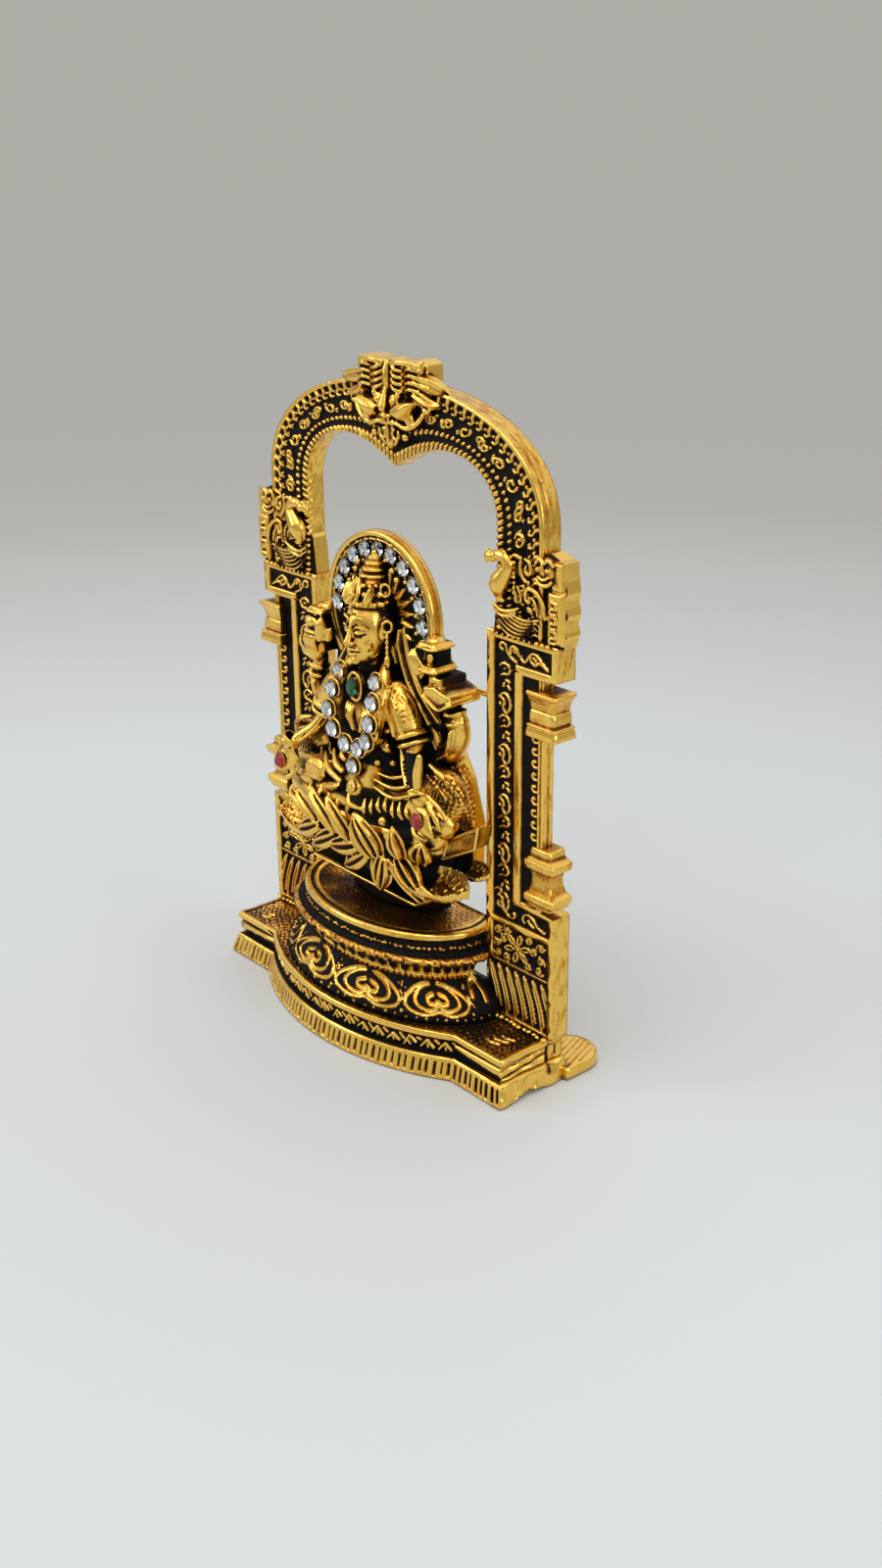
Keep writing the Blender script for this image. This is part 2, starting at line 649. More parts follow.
def plinthBody():
    look = plinthLook
    rng = np.random.default_rng(3)
    long, short, deep, full = look["bowLength"], look["blockLength"], look["sideLength"], 2 * look["half"]
    stretches = [(deep, 0.2), (short, 0.13), (long, 0.13), (short, 0.13), (deep, 0.2), (full, 1.5)]
    kind, t, u = [], [], []
    for own, (length, spacing) in enumerate(stretches):
        at = spread(0, 1, spacing / length)[:-1]
        kind.append(np.full(len(at), own))
        t.append(at)
        u.append(at * length)
    kind, t, u = (np.concatenate(values)[None, :] for values in (kind, t, u))
    profile = sampled(look["profile"], 0.14)
    z, inset = profile[:, 0][:, None] + 0 * u, profile[:, 1][:, None] + 0 * u
    lengths = np.select([kind == 2, kind == 5], [long, full], short)
    slots = np.select([kind == 2], [look["slots"][1]], look["slots"][0])
    front = (kind > 0) & (kind < 4)
    number = np.floor(u / lengths * slots).astype(int)
    low, wide = rng.uniform(0.35, 0.75, 64)[number], rng.uniform(0.75, 1.25, 64)[number]
    phase = (u / lengths * slots) % 1 - 0.5
    lean = 0.07 * np.sin(u * 2.1)
    slot = (bump(phase * lengths / slots + lean, look["slotWidth"] * wide, 3) * between(z, low, 2.3, 0.35)
        * front)
    height = -look["slotDepth"] * slot
    black = 0.72 * slot
    band = between(z, *look["leafBand"], 0.1)
    leaves = np.zeros(z.shape)
    bow = np.where(kind == 2, u, -99) + 0 * z
    mark = partial(draw, leaves, bow, z)
    pitch = long / look["zigzags"]
    for i in range(look["zigzags"]):
        start = i * pitch + rng.uniform(-0.15, 0.15)
        lift, turn, size = rng.uniform(-0.25, 0.25), rng.uniform(-0.3, 0.3), rng.uniform(0.42, 0.66)
        mark([(start, 3.7 + turn), (start + pitch * 0.36, 4.75 + lift), (start + pitch * 0.7, 3.8 - turn)],
            size, 0.46)
        mark([(start + pitch * 0.36, 3.55), (start + pitch * 0.36 + turn, 4.1)], 0.5, 0.38)
        mark([(start + pitch * 0.8, 5.0 + turn * 0.4), (start + pitch, 4.45 + lift)], size, 0.4)
    ends = np.where((kind == 1) | (kind == 3), 1, 0)
    fromCorner = np.where(kind == 1, u, short - u)
    leaves = np.maximum(leaves, ends * 0.6 * between(z, 3.75 + 0.05 * fromCorner, 5.05, 0.3))
    sides = np.where((kind == 0) | (kind == 4), 1, 0)
    across = np.where(kind == 0, deep - u, u)
    slope = 3.3 + across * 0.1
    leaves = np.maximum(leaves, sides * 0.6 * between(z, 3.1, 5.6, 0.2))
    cut = (sides * np.maximum(bump(z - slope - 0.2, 0.6), bump(z - slope - 1.4, 0.42) * 0.9)
        * step(9.3 - across, 0.3))
    notch = (bump(across - 9.1, 0.85) * between(z, 1.6, 5.9, 0.4) + bump(across - 10.7, 0.5)
        * between(z, 3.4, 5.2, 0.4))
    cut = np.maximum(cut, sides * np.minimum(notch, 1))
    leaves -= 0.5 * cut
    height = height + band * leaves - sides * 0.12 * rippleNoise(u, z, 2.6, 5)
    black = black + band * (1 - step(leaves - 0.2, 0.2)) * (0.95 - 0.25 * ends) + 0.8 * cut * (1 - band)
    black += 0.9 * bump(z - 3.1, 0.34) * front + 0.5 * bump(z - 5.5, 0.3)
    black = np.maximum(black, (z > 6.25) * step(inset - 1.5, 0.2) * 0.8) * (kind != 5)
    x, y = plinthOutline(inset - height, kind, t)
    arch = np.sqrt(np.clip(81 - (y + 3.7) ** 2, 0, 99)) - 8.2
    z = np.where(sides > 0, np.maximum(z, np.clip(arch, 0, 1.2)), z)
    return skin(np.stack([x, y, z], -1), wrap=True, black=black)


# The top is a sheet of grain between the front edge and the back.
def plinthTop():
    look = plinthLook
    x = spread(-28.4, 28.4, 0.15)
    radius, centre = bowArc()
    inset = 1.6
    bow = centre - np.sqrt(np.maximum((radius - inset) ** 2 - x ** 2, 0))
    block = look["blockFront"] + inset
    front = np.where(np.abs(x) < look["bowHalf"] + 1, np.minimum(bow, block), block)
    t = spread(0, 1, 0.15 / 12)[:, None]
    y = front[None, :] * (1 - t) + 3.0 * t
    x = x[None, :] + 0 * y
    grain = rippleNoise(x, y, 0.62, 11) * 0.55 + rippleNoise(x, y, 0.95, 12) * 0.55
    patch = rippleNoise(x, y, 9, 13)
    marks = np.zeros(x.shape)
    for line in look["marks"]:
        draw(marks, x, y, smoothLine(line, 10), 0.5, 0.26)
    z = 6.36 + 0.1 * grain + marks
    black = 0.56 - 0.42 * grain - 0.16 * patch - 0.2 * step(-x - 8, 20) - marks * 3.2
    black = np.maximum(np.clip(black, 0.08, 1), 0.95 * step(y + 0.9, 0.9))
    bottom = np.stack([x[[0, -1]], y[[0, -1]], np.full((2, x.shape[1]), 6)], -1)
    top = np.stack([x, y, z], -1)
    rows = np.concatenate([bottom[:1], top, bottom[1:]])
    blacks = np.concatenate([np.ones((1, x.shape[1])), black, np.ones((1, x.shape[1]))])
    return closedSheet(rows, blacks)


# A sheet whose first and last rows meet below, closed at its two ends.
def closedSheet(rows, black):
    return skin(np.swapaxes(rows, 0, 1), wrap=True, black=black.T)


def rearFoot():
    look = plinthLook
    radius, middle = look["footRadius"], look["half"] + 0.6 - look["footRadius"]
    end = look["back"] + look["footReach"] - radius
    angle = np.linspace(-0.5 * np.pi, 0.5 * np.pi, 40)
    outline = np.array([(middle - radius, 2.4), (middle + radius, 2.4)]
        + [(middle + radius * cos(a), end + radius * sin(a)) for a in np.linspace(0, np.pi, 44)])
    outline = sampled(np.concatenate([outline, outline[:1]]), 0.3)[:-1]
    centre = np.array([middle, 4.5])
    rows, blacks = [], []
    for inward, z in [(0.3, 0), (0, 0.25), (0, 0.8), (0.05, 1.45), (0.35, 1.74)]:
        line = outline + unit(centre - outline) * inward
        rows.append(np.column_stack([line, np.full(len(line), z)]))
        blacks.append(np.zeros(len(line)))
    for share in np.linspace(0.1, 0.97, 26):
        line = outline + unit(centre - outline) * 0.35
        line = line + (centre - line) * share
        scratch = bump((line[:, 0] * 0.94 + line[:, 1] * 0.34) % 0.8 - 0.4, 0.3)
        rows.append(np.column_stack([line, look["footTop"] - 0.05 - 0.06 * scratch]))
        blacks.append(0.35 * scratch + 0.3 * step(4 - line[:, 1], 1.5))
    return skin(rows, wrap=True, black=np.array(blacks))


# Half-oval lotus pedestal

pedestalLook = {
    "centre": -0.5,
    "meanRadius": 16.65,  # turns an angle into millimetres along the relief
    "hearts": (-1.5, -0.5, 0.5, 1.5),
    "heartSpacing": 10.75,
    "heartWidth": 9.9,
    "heartHeight": 2.75,
    "heartHalf": [(0, 0.2), (0.24, 0.04), (0.52, 0), (0.85, 0.14), (1, 0.42), (0.94, 0.72), (0.7, 1),
        (0.4, 1.18), (0.22, 1.22)],
    "smallHeart": [(-0.25, 1.05), (-0.8, 0.7), (-0.75, 0.15), (-0.3, 0.05), (0, 0.35), (0.3, 0.05),
        (0.75, 0.15),
                   (0.8, 0.7), (0.25, 1.05)],
    "flowers": 27,
    "lineWidth": 0.62,
    "profile": [  # height, half-width, reach to the front and where its back is
        (6.2, 20.3, 13, 3.2), (6.9, 20.35, 13.05, 3.2), (7.6, 20.3, 12.95, 3.2), (8.8, 19.7, 12.4, 3),
        (9.8, 18.5, 11.65, 1.8), (10.6, 17.3, 11, 0.4), (11.2, 16.6, 10.65, -0.6), (11.7, 16.3, 10.5, -1),
        (12.8, 16.4, 10.7, -1), (13.6, 17.1, 11.25, -0.9), (14.1, 18, 11.95, -0.8),
        (14.3, 18.5, 12.35, -0.7), (14.7, 18.6, 12.4, -0.5), (15, 18.3, 12.15, -0.2),
        (15.15, 17.4, 11.6, 0.4), (15.6, 16.8, 11.25, 1.2), (15.75, 17, 11.4, 1.6),
        (15.95, 16.7, 11.2, 2), (16.2, 16.2, 10.95, 2.4), (16.85, 15.9, 10.8, 3), (17, 16.15, 11.05, 3.2),
        (17.15, 16.4, 11.25, 3.2), (17.7, 16.35, 11.2, 3.2), (17.98, 16.05, 10.95, 3.2),
        (17.98, 15.6, 10.55, 3.2), (17.72, 15.4, 10.3, 3.2), (17.72, 15.1, 10, 3.2),
        (17.92, 14.8, 9.7, 3.2), (17.9, 14.4, 9.4, 3.2), (17.7, 14.2, 9.2, 3.2), (17.72, 10, 6.4, 3.2),
        (17.72, 5, 3.2, 3.2), (17.72, 1, 1.2, 1),
    ],
}


def heartLine(middle, low, share):
    look = pedestalLook
    half = look["heartHalf"]
    wide, tall = share * look["heartWidth"] / 2, look["heartHeight"]
    notch = 0.6 * (1 - share)
    spots = [(middle + hand * u * wide, low + v * tall * (0.4 + 0.6 * share) + notch * (u < 0.1))
        for hand, row in ((-1, half[::-1]), (1, half[1:])) for u, v in row]
    return smoothLine(spots, 34)


def pedestalBody():
    look = pedestalLook
    rng = np.random.default_rng(8)
    profile = sampled(look["profile"], 0.135)
    z, wide, reach, back = (profile[:, k][:, None] for k in range(4))
    depth = np.maximum(reach + look["centre"], 0.5)
    start = np.arcsin(np.clip((back - look["centre"]) / depth, -1, 1))
    t = spread(-1, 1, 0.145 / 27)[None, :]
    angle = t * (np.pi / 2 + start)
    x = wide * np.sin(angle)
    y = look["centre"] - depth * np.cos(angle)
    s = angle * look["meanRadius"] + 0 * z
    zz = z + 0 * t
    height = np.zeros(zz.shape)
    mark = partial(draw, height, s, zz)
    width = look["lineWidth"]
    for number in look["hearts"]:
        middle = number * look["heartSpacing"]
        for share, low, rise in ((1, 7.6, 0.42), (0.7, 8.2, 0.5)):
            mark(heartLine(middle, low, share), width, rise)
        small = [(middle + u * 1.9, 8.9 + v * 1.05) for u, v in look["smallHeart"]]
        mark(smoothLine(small, 20), width, 0.55)
    for i in range(-2, 3):
        gap = i * look["heartSpacing"]
        for _ in range(9):
            spot = (gap + rng.uniform(-0.6, 0.6), rng.uniform(9.4, 10.8))
            mark([spot], 0.5, rng.uniform(0.25, 0.4))
        mark([(gap, 7.75)], 0.7, 0.36)
        mark([(gap - 0.45, 8.5), (gap, 9.3), (gap + 0.45, 8.5)], 0.4, 0.28)
    for i in range(37):
        spot = (-26.6 + i * 1.46 + rng.uniform(-0.2, 0.2), 7.05 + rng.uniform(-0.1, 0.12))
        mark([spot], rng.uniform(0.45, 0.72), 0.34)
    pitch = 52.0 / look["flowers"]
    for i in range(look["flowers"] + 1):
        at = -26 + i * pitch + rng.uniform(-0.1, 0.1)
        for dx, dz, size in ((0, 13.2, 0.9), (-0.5, 11.85, 1), (0.5, 11.8, 1)):
            mark([(at + dx, dz)], size, 0.62)
        mark([(at, 12), (at, 13)], 0.7, 0.5)
        mark([(at - 0.5, 16), (at + 0.1, 16.1)], 0.45, 0.3)
        mark([(at + 0.4, 16), (at + 0.9, 16.1)], 0.4, 0.25)
    for end in (-1, 1):
        blade = [(end * s0, z0) for s0, z0 in ((22.4, 9.6), (23.3, 10.8), (24.5, 11.2), (25, 10.2),
            (24.6, 8.9))]
        mark(smoothLine(blade, 16), 0.9, 0.55)
    scallop = np.clip(np.abs(((s + 26) / pitch) % 1 - 0.5) * 2, 0, 1)
    ring = (wide > 15) & (zz > 14.15) & (zz < 15.08)
    disc = (wide > 14.25) & (zz > 17.02)
    inside = (wide < 14.25) & (zz > 17.5)
    fine = rippleNoise(x, y, 0.7, 21) * 0.5 + rippleNoise(x, y, 0.42, 22) * 0.5
    side = rippleNoise(s, zz, 0.8, 23)
    height += np.where(inside, 0.07 * fine, 0)
    height += np.where(ring, 0.08 * side - 0.3 * bump(scallop, 0.7) * step(14.6 - zz, 0.2), 0)
    height += np.where((zz > 15.1) & (zz < 17) & ~inside, 0.1 * side, 0)
    black = np.clip(1 - step(height - 0.2, 0.22), 0, 1) * 0.95
    black = np.where(ring, 0.22 + 0.3 * np.clip(side, 0, 1) + 0.6 * bump(scallop, 0.7)
        * step(14.65 - zz, 0.2), black)
    black = np.where(disc, 0.06 + 0.22 * np.clip(side, 0, 1) + 0.75 * bump(wide - 15.25, 0.75), black)
    black = np.where(inside, np.clip(0.42 - 0.012 * x - 0.34 * fine - 0.16 * rippleNoise(x, y, 6, 24), 0.1,
        1), black)
    black = np.where((zz < 14) & (black < 0.3), black - 0.35, black)
    edge = np.clip(np.abs(t) * 8 - 7.2, 0, 1)
    base = np.stack([x, y, zz], -1)
    lifted = raised(base, height * (1 - edge), -1)
    backX = lifted[:, -1:, 0] * np.linspace(1, -1, 24)[None, 1:-1]
    backing = np.stack([backX, back + 0 * backX, np.repeat(zz[:, :1], 22, 1)], -1)
    rows = np.concatenate([lifted, backing], 1)
    blacks = np.concatenate([black, np.full(backX.shape, 0.12)], 1)
    return skin(rows, wrap=True, black=blacks)


def plinthParts():
    rng = np.random.default_rng(4)
    beads = []
    for i in range(13):
        at = (18.3 + i * 0.88 + rng.uniform(-0.15, 0.15), -0.45 + rng.uniform(-0.15, 0.15), 6.62)
        size = rng.uniform(0.28, 0.5)
        beads.append(lump(at, (size * 1.2, size, size * 0.8), rng.uniform(-30, 30), 10, 7))
    return [plinthBody(), plinthTop(), *bothSides([rearFoot(), *beads])]


print("plinth and pedestal")
gild(sheetPiece("plinthCasting", plinthParts()), "plinth")
gild(sheetPiece("lotusPedestal", [pedestalBody()]), "plinth")


# Arch band: one cross-section carried from the right capital over the middle to the left one

bandLook = {
    "outerHalf": 27,
    "halfLength": 46,  # about, from foot to middle
    "width": 8,
    "foot": 59.3,
    "spring": 72,
    "rise": 15.4,
    "cuspDrop": 3.1,
    "cuspShare": 0.345,
    "rounding": 2 / 2.25,
    "thickness": 3.2,
    "ground": 0.5,  # the relief's ground lies this far behind the front face
    "forks": 1.55,  # mm between the forked teeth of the outer border
    "scrolls": 3.3,
    "beads": 0.98,
    "serration": 0.86,
}


# The right half of the line that lies an inset in from the outer edge, from foot to middle, and its length.
def bandLine(inset, count):
    look = bandLook
    share = inset / look["width"]
    flat = share * look["outerHalf"] * look["cuspShare"]
    angle = np.linspace(0, np.pi / 2, 70)
    bend = look["rounding"]
    x = flat + (look["outerHalf"] - inset - flat) * np.clip(np.cos(angle), 0, 1) ** bend
    z = look["spring"] + (look["rise"] - inset * 0.95) * np.sin(angle) ** bend
    t = np.linspace(0, 1, 16)[1:]
    x = np.concatenate([[look["outerHalf"] - inset], x, flat * (1 - t)])
    z = np.concatenate([[look["foot"]], z, z[-1] - look["cuspDrop"] * share ** 2 * t ** 1.7])
    lengths = np.concatenate([[0], np.cumsum(np.hypot(np.diff(x), np.diff(z)))])
    at = np.linspace(0, lengths[-1], count)
    return np.interp(at, lengths, x), np.interp(at, lengths, z), lengths[-1]


def bandRelief(share, t):
    look = bandLook
    height = np.zeros(share.shape)
    lengths = {key: bandLine(key, 8)[2] for key in (1.8, 4, 6, 7.5)}
    s = share * lengths[1.8]
    mark = partial(draw, height, s, t)
    for i in range(int(lengths[1.8] / look["forks"])):
        at = (i + 0.5) * look["forks"]
        mark([(at, 0.8), (at + 0.02, 1.5)], 0.66, 0.5)
        mark([(at + 0.02, 1.5), (at - 0.42, 1.95), (at - 0.25, 2.5), (at + 0.2, 2.45)], 0.46, 0.5)
        mark([(at + 0.55, 1.7)], 0.62, 0.46)
    s = share * lengths[4]
    mark = partial(draw, height, s, t)
    for i in range(int(lengths[4] / look["scrolls"])):
        at = (i + 0.55) * look["scrolls"]
        kind = i % 3
        if kind == 0:
            mark(vine((at, 4), 0.72, 1.2, 1)[:27], 0.48, 0.5)
            mark(smoothLine([(at + 0.5, 4.9), (at + 1.05, 4.6), (at + 1.2, 3.9)], 8), 0.46, 0.46)
        elif kind == 1:
            mark(vine((at - 0.3, 4.35), 0.6, -0.6, -1)[:26], 0.46, 0.5)
            mark(vine((at + 0.75, 3.6), 0.52, 2.4, -1)[:26], 0.44, 0.5)
            mark([(at - 1.1, 3.5)], 0.6, 0.42)
        else:
            mark(smoothLine([(at - 0.6, 3.3), (at - 0.7, 4.1), (at, 4.8), (at + 0.7, 4.4), (at + 0.5, 3.7),
                (at, 3.7)], 18), 0.48, 0.5)
            mark([(at + 1.15, 4.9), (at + 1.3, 4.5)], 0.52, 0.44)
    s = share * lengths[6]
    mark = partial(draw, height, s, t)
    for i in range(int(lengths[6] / look["beads"])):
        at = (i + 0.5) * look["beads"]
        mark([(at, 5.85), (at, 6)], 0.66, 0.5)
    s = share * lengths[7.5]
    tooth = bump((s / look["serration"]) % 1 * look["serration"] - look["serration"] / 2, 0.66)
    height = np.maximum(height, between(t, 7, 9, 0.15) * (0.12 + 0.38 * tooth))
    black = (1 - step(height - 0.2, 0.2)) * 0.98
    rim = between(t, -1, 0.72, 0.12)
    height = np.maximum(height, rim * 0.5)
    black = black * (1 - rim)
    return height, black, tooth


def archBand():
    look = bandLook
    half = int(look["halfLength"] / (0.15 * coarser))
    thick, ground = look["thickness"], look["ground"]
    front = spread(0.12, 7.9, 0.145)
    sideY = spread(0.16, thick - 0.2, 0.24)
    backT = spread(7.7, 0.3, 0.9)
    t = np.concatenate([front, np.full(len(sideY), look["width"]), backT, np.zeros(len(sideY))])
    y = np.concatenate([np.full(len(front), ground), sideY, np.full(len(backT), thick), sideY[::-1]])
    face = np.repeat([0, 1, 2, 3], [len(front), len(sideY), len(backT), len(sideY)])
    share = np.linspace(0, 1, half)[:, None] + 0 * t[None, :]
    tt = t[None, :] + 0 * share
    height, black, tooth = bandRelief(share, tt)
    isFront, isInner, isOuter = ((face == k)[None, :] for k in (0, 1, 3))
    s = share * look["halfLength"]
    streak = rippleNoise(s * 0.5, y[None, :] * 2.2, 1.5, 31)
    grooves = ((bump(y - 0.95, 0.4) + bump(y - 1.9, 0.34) * 0.6)[None, :]
        * step(rippleNoise(s * 0.3, y[None, :], 5, 33) + 0.6, 0.6))
    height = np.where(isFront, height, 0.04 * streak - np.where(isOuter, 0.11 * grooves, 0))
    height = np.where(isInner, 0.05 * streak - 0.2 * (1 - tooth) * np.clip(1.3 - y, 0, 1), height)
    black = np.where(isFront, black, np.clip(0.12 + 0.12 * streak, 0, 1)
        + np.where(isOuter, 0.16 * grooves, 0))
    outT = np.select([face == 1, face == 3], [1, -1], 0)
    outY = np.select([face == 0, face == 2], [-1, 1], 0)
    inset = tt + outT * height
    depth = y[None, :] + outY * height
    x, z = np.zeros(share.shape), np.zeros(share.shape)
    lines = 80
    table = [bandLine(value, half) for value in np.linspace(0, look["width"], lines + 1)]
    tableX, tableZ = (np.array([line[k] for line in table]) for k in (0, 1))
    at = np.clip(inset / look["width"] * lines, -2, lines + 2)
    low = np.clip(at.astype(int), 0, lines - 1)
    row = np.arange(half)[:, None] + 0 * low
    for out, grid in ((x, tableX), (z, tableZ)):
        out[:] = grid[low, row] + (grid[low + 1, row] - grid[low, row]) * (at - low)
    rows = np.stack([x, depth, z], -1)
    rows = np.concatenate([rows, (rows * [-1, 1, 1])[-2::-1]])
    black = np.concatenate([black, black[-2::-1]])
    return skin(rows, wrap=True, black=black)


# Pillars: the right one, its relief drawn over across and up, then mirrored

pillarLook = {
    "inner": 17.5,
    "outer": 29.8,
    "shaftOuter": 27.5,
    "foot": 6.6,
    "footTop": 24,
    "capitalFoot": 54.8,
    "capitalTop": 59.3,
    "border": 1.2,
    "lineIn": 22.5,
    "ground": 0.5,
    "back": 3.2,
    "scrollPitch": 6.75,
    "hookPitch": 1.62,
    "flutes": 7,
    "motif": [  # width, points once smoothed, and places about the motif's middle
        (0.42, 22, (-0.95, 1.1), (-0.4, 1.5), (0.5, 1.4), (0.85, 0.8), (0.45, 0.2), (-0.25, 0.15),
         (-0.75, -0.1)),
        (0.5, 0, (-0.15, 0.85), (-0.1, 0.9)),
        (0.48, 0, (0.2, -0.55), (0.75, -0.75)),
        (0.48, 0, (-0.2, -1.1), (-0.3, -1.45)),
        (0.5, 0, (0.5, -1.25), (0.85, -1.6)),
        (0.42, 20, (-1.05, -2.9), (-0.6, -2.5), (0, -2.3), (0.7, -2.8), (0.95, -3.5), (0.8, -4.3),
         (0.2, -4.9)),
        (0.42, 14, (-1.05, -2.9), (-0.35, -3.1), (-0.1, -3.6), (-0.35, -4.2), (0.2, -4.9)),
        (0.44, 0, (-0.95, -3.7), (-0.75, -3.9)),
    ],
    "motifTop": 53.9,
    "borders": [  # raised and plain: from and to across, from and to up, how soft across and up
        (16.5, 18.7, 14.7, 99, 0.12, 0.15), (0, 99, 58.35, 99, 0.12, 0.12),
        (22.5, 99, 54.6, 55.75, 0.12, 0.12),
        (28.7, 99, 54, 99, 0.12, 0.2), (22.5, 23.7, 23.4, 55.7, 0.12, 0.12),
        (22.5, 99, 23.4, 24.4, 0.12, 0.12),
        (28.95, 99, 0, 24.2, 0.12, 0.2), (0, 99, 20.05, 20.95, 0.12, 0.12),
        (26.7, 27.6, 24.4, 54.7, 0.12, 0.2),
        (0, 99, 0, 7.1, 0.12, 0.15),
    ],
    "capitalScroll": [
        [(20.2, 57.1), (19.7, 57.3), (19.7, 57.8), (20.2, 58), (20.75, 57.7), (20.9, 57.1), (21.6, 56.4),
         (22.6, 56)],
        [(21.5, 56.9), (21.5, 57.6), (22.1, 57.9), (22.7, 57.5), (22.9, 57), (23.3, 56.9)],
        [(23.4, 56.6), (24, 56.3), (24.4, 56.7), (25, 57.5), (25.9, 57.7), (26.9, 57), (28.1, 56.1)],
        [(25, 57.4), (25.1, 56.7), (25.9, 56.3), (26.3, 56.7), (27, 56.6), (28.1, 56.1)],
        [(25.5, 57.2), (26, 57), (25.9, 56.8)],
    ],
    "footScroll": [
        [(20, 22.4), (19.5, 22.6), (19.6, 23.1), (20.1, 23.2), (20.6, 22.8), (20.9, 22.2), (21.6, 21.5),
         (22.5, 21.5)],
        [(22.5, 21.5), (22.8, 22), (22.4, 22.3)],
        [(24.6, 21.6), (24.2, 22.1), (24.6, 22.8), (25.5, 22.9), (26.4, 22.4), (27, 21.8), (28.2, 21.4)],
        [(25.2, 22.2), (25.6, 21.8), (26.2, 21.5)], [(19, 24.6), (19.6, 25), (20.3, 24.6)],
    ],
    "flowerCurls": [(19.5, 19), (19.4, 17), (19.6, 15.6), (27.6, 19.1), (27.7, 17.2), (27.3, 15.6),
        (21.3, 19.4),
                    (25.4, 19.4), (21.3, 15.5), (25.2, 15.4), (20.6, 18), (26.3, 18)],
}


def pillarRelief(x, z):
    look = pillarLook
    inner, border, lineIn = look["inner"], look["border"], look["lineIn"]
    height = np.zeros(x.shape)
    mark = partial(draw, height, x, z)
    middle = (inner + border + lineIn) / 2
    wide, rise = 0.42, 0.48
    for i in range(5):
        at = look["motifTop"] - i * look["scrollPitch"]
        for width, count, *spots in look["motif"]:
            line = [(middle + u, at + v) for u, v in spots]
            mark(smoothLine(line, count) if count else line, width, rise)
    for line in look["capitalScroll"] + look["footScroll"]:
        mark(smoothLine(line, 24), wide, rise)
    mark([(22.1, 57.5), (22.35, 57.2)], 0.6, rise)
    flowerX, flowerZ = 23.3, 17.4
    for i in range(6):
        angle = i * pi / 3 + 0.3
        c, s = cos(angle), sin(angle)
        for hand in (-0.35, 0.35):
            line = [(0.5, 0), (1.3, hand), (2.1, hand * 0.9), (2.5, 0)]
            mark([(flowerX + (u * c - v * s), flowerZ + (u * s + v * c) * 0.85) for u, v in line], 0.36, rise)
    mark([(flowerX, flowerZ)], 0.95, 0.5)
    for i, (cx, cz) in enumerate(look["flowerCurls"]):
        mark(vine((cx, cz), 0.52, i * 1.3, 1 if i % 2 else -1), 0.34, 0.46)
        mark([(cx + 0.75 * cos(i * 2.1), cz + 0.6 * sin(i * 2.1))], 0.42, 0.4)
    width = 11.4 / look["flutes"]
    for i in range(look["flutes"]):
        at = 18.7 + i * width
        for hand in (-0.25, 0.3):
            lift = 0.6 * (hand > 0)
            line = [(at + 1.25 + hand, 7.3 + lift), (at + 1.1 + hand, 8.6), (at + 0.6 + hand, 10.6),
                (at - 0.1 + hand, 12.4), (at - 0.55 + 0.6 * hand, 13.8 - 0.5 * lift)]
            mark(smoothLine(line, 14), 0.44, 0.48)
    for i in range(int(15.6 / look["hookPitch"])):
        at = 33.2 + (i + 0.5) * look["hookPitch"]
        line = [(26.5, at - 0.32), (25.95, at - 0.4), (25.6, at), (25.75, at + 0.38), (26.15, at + 0.32)]
        mark(line, 0.46, 0.5)
    black = (1 - step(height - 0.2, 0.2)) * 0.98
    plain = between(z, 14.35, 14.8, 0.12) * 0.7
    for x0, x1, z0, z1, softX, softZ in look["borders"]:
        plain = np.maximum(plain, between(x, x0, x1, softX) * between(z, z0, z1, softZ))
    groove = 0.5 * bump(x - 27.1, 0.26) * between(z, 24.4, 54.7, 0.2)
    height = np.maximum(height, 0.5 * plain) - 0.35 * groove
    black = black * (1 - plain) + groove * 0.9
    return height, black


def pillarBody():
    look = pillarLook
    z = spread(look["foot"], look["capitalTop"], 0.155)
    isBlock = (z < look["footTop"]) | (z > look["capitalFoot"])
    outerEdge = np.where(isBlock, look["outer"], look["shaftOuter"])[:, None]
    q = spread(0, 1, 0.15 / 12.3)
    sideY = spread(0.18, look["back"] - 0.18, 0.3)
    backQ = spread(0.97, 0.03, 0.09)
    n = (len(q), len(sideY), len(backQ), len(sideY))
    face = np.repeat([0, 1, 2, 3], n)
    share = np.concatenate([q, np.ones(n[1]), backQ, np.zeros(n[3])])[None, :]
    y = np.concatenate([np.full(n[0], look["ground"]), sideY, np.full(n[2], look["back"]),
        sideY[::-1]])[None, :]
    x = look["inner"] + share * (outerEdge - look["inner"])
    zz = z[:, None] + 0 * x
    thin = 1 - 0.42 * step(x - 25.5, 3) * between(zz, 24.6, 54.2, 0.6)
    yy = look["ground"] + (y - look["ground"]) * thin
    height, black = pillarRelief(x, zz)
    streak = rippleNoise(zz * 0.45, yy * 2.0 + x, 1.6, 41)
    isFront = (face == 0)[None, :]
    height = np.where(isFront, height, 0.045 * streak)
    groove = bump(yy - 1.2, 0.4) * (face == 1)[None, :] * between(zz, 25, 54, 0.5)
    height = height - 0.12 * groove
    black = np.where(isFront, black, np.clip(0.1 + 0.12 * streak, 0, 0.5) + 0.3 * groove)
    outX = np.select([face == 1, face == 3], [1, -1], 0)[None, :]
    outY = np.select([face == 0, face == 2], [-1, 1], 0)[None, :]
    rows = np.stack([x + outX * height, yy + outY * height, zz], -1)
    return skin(rows, wrap=True, black=black)


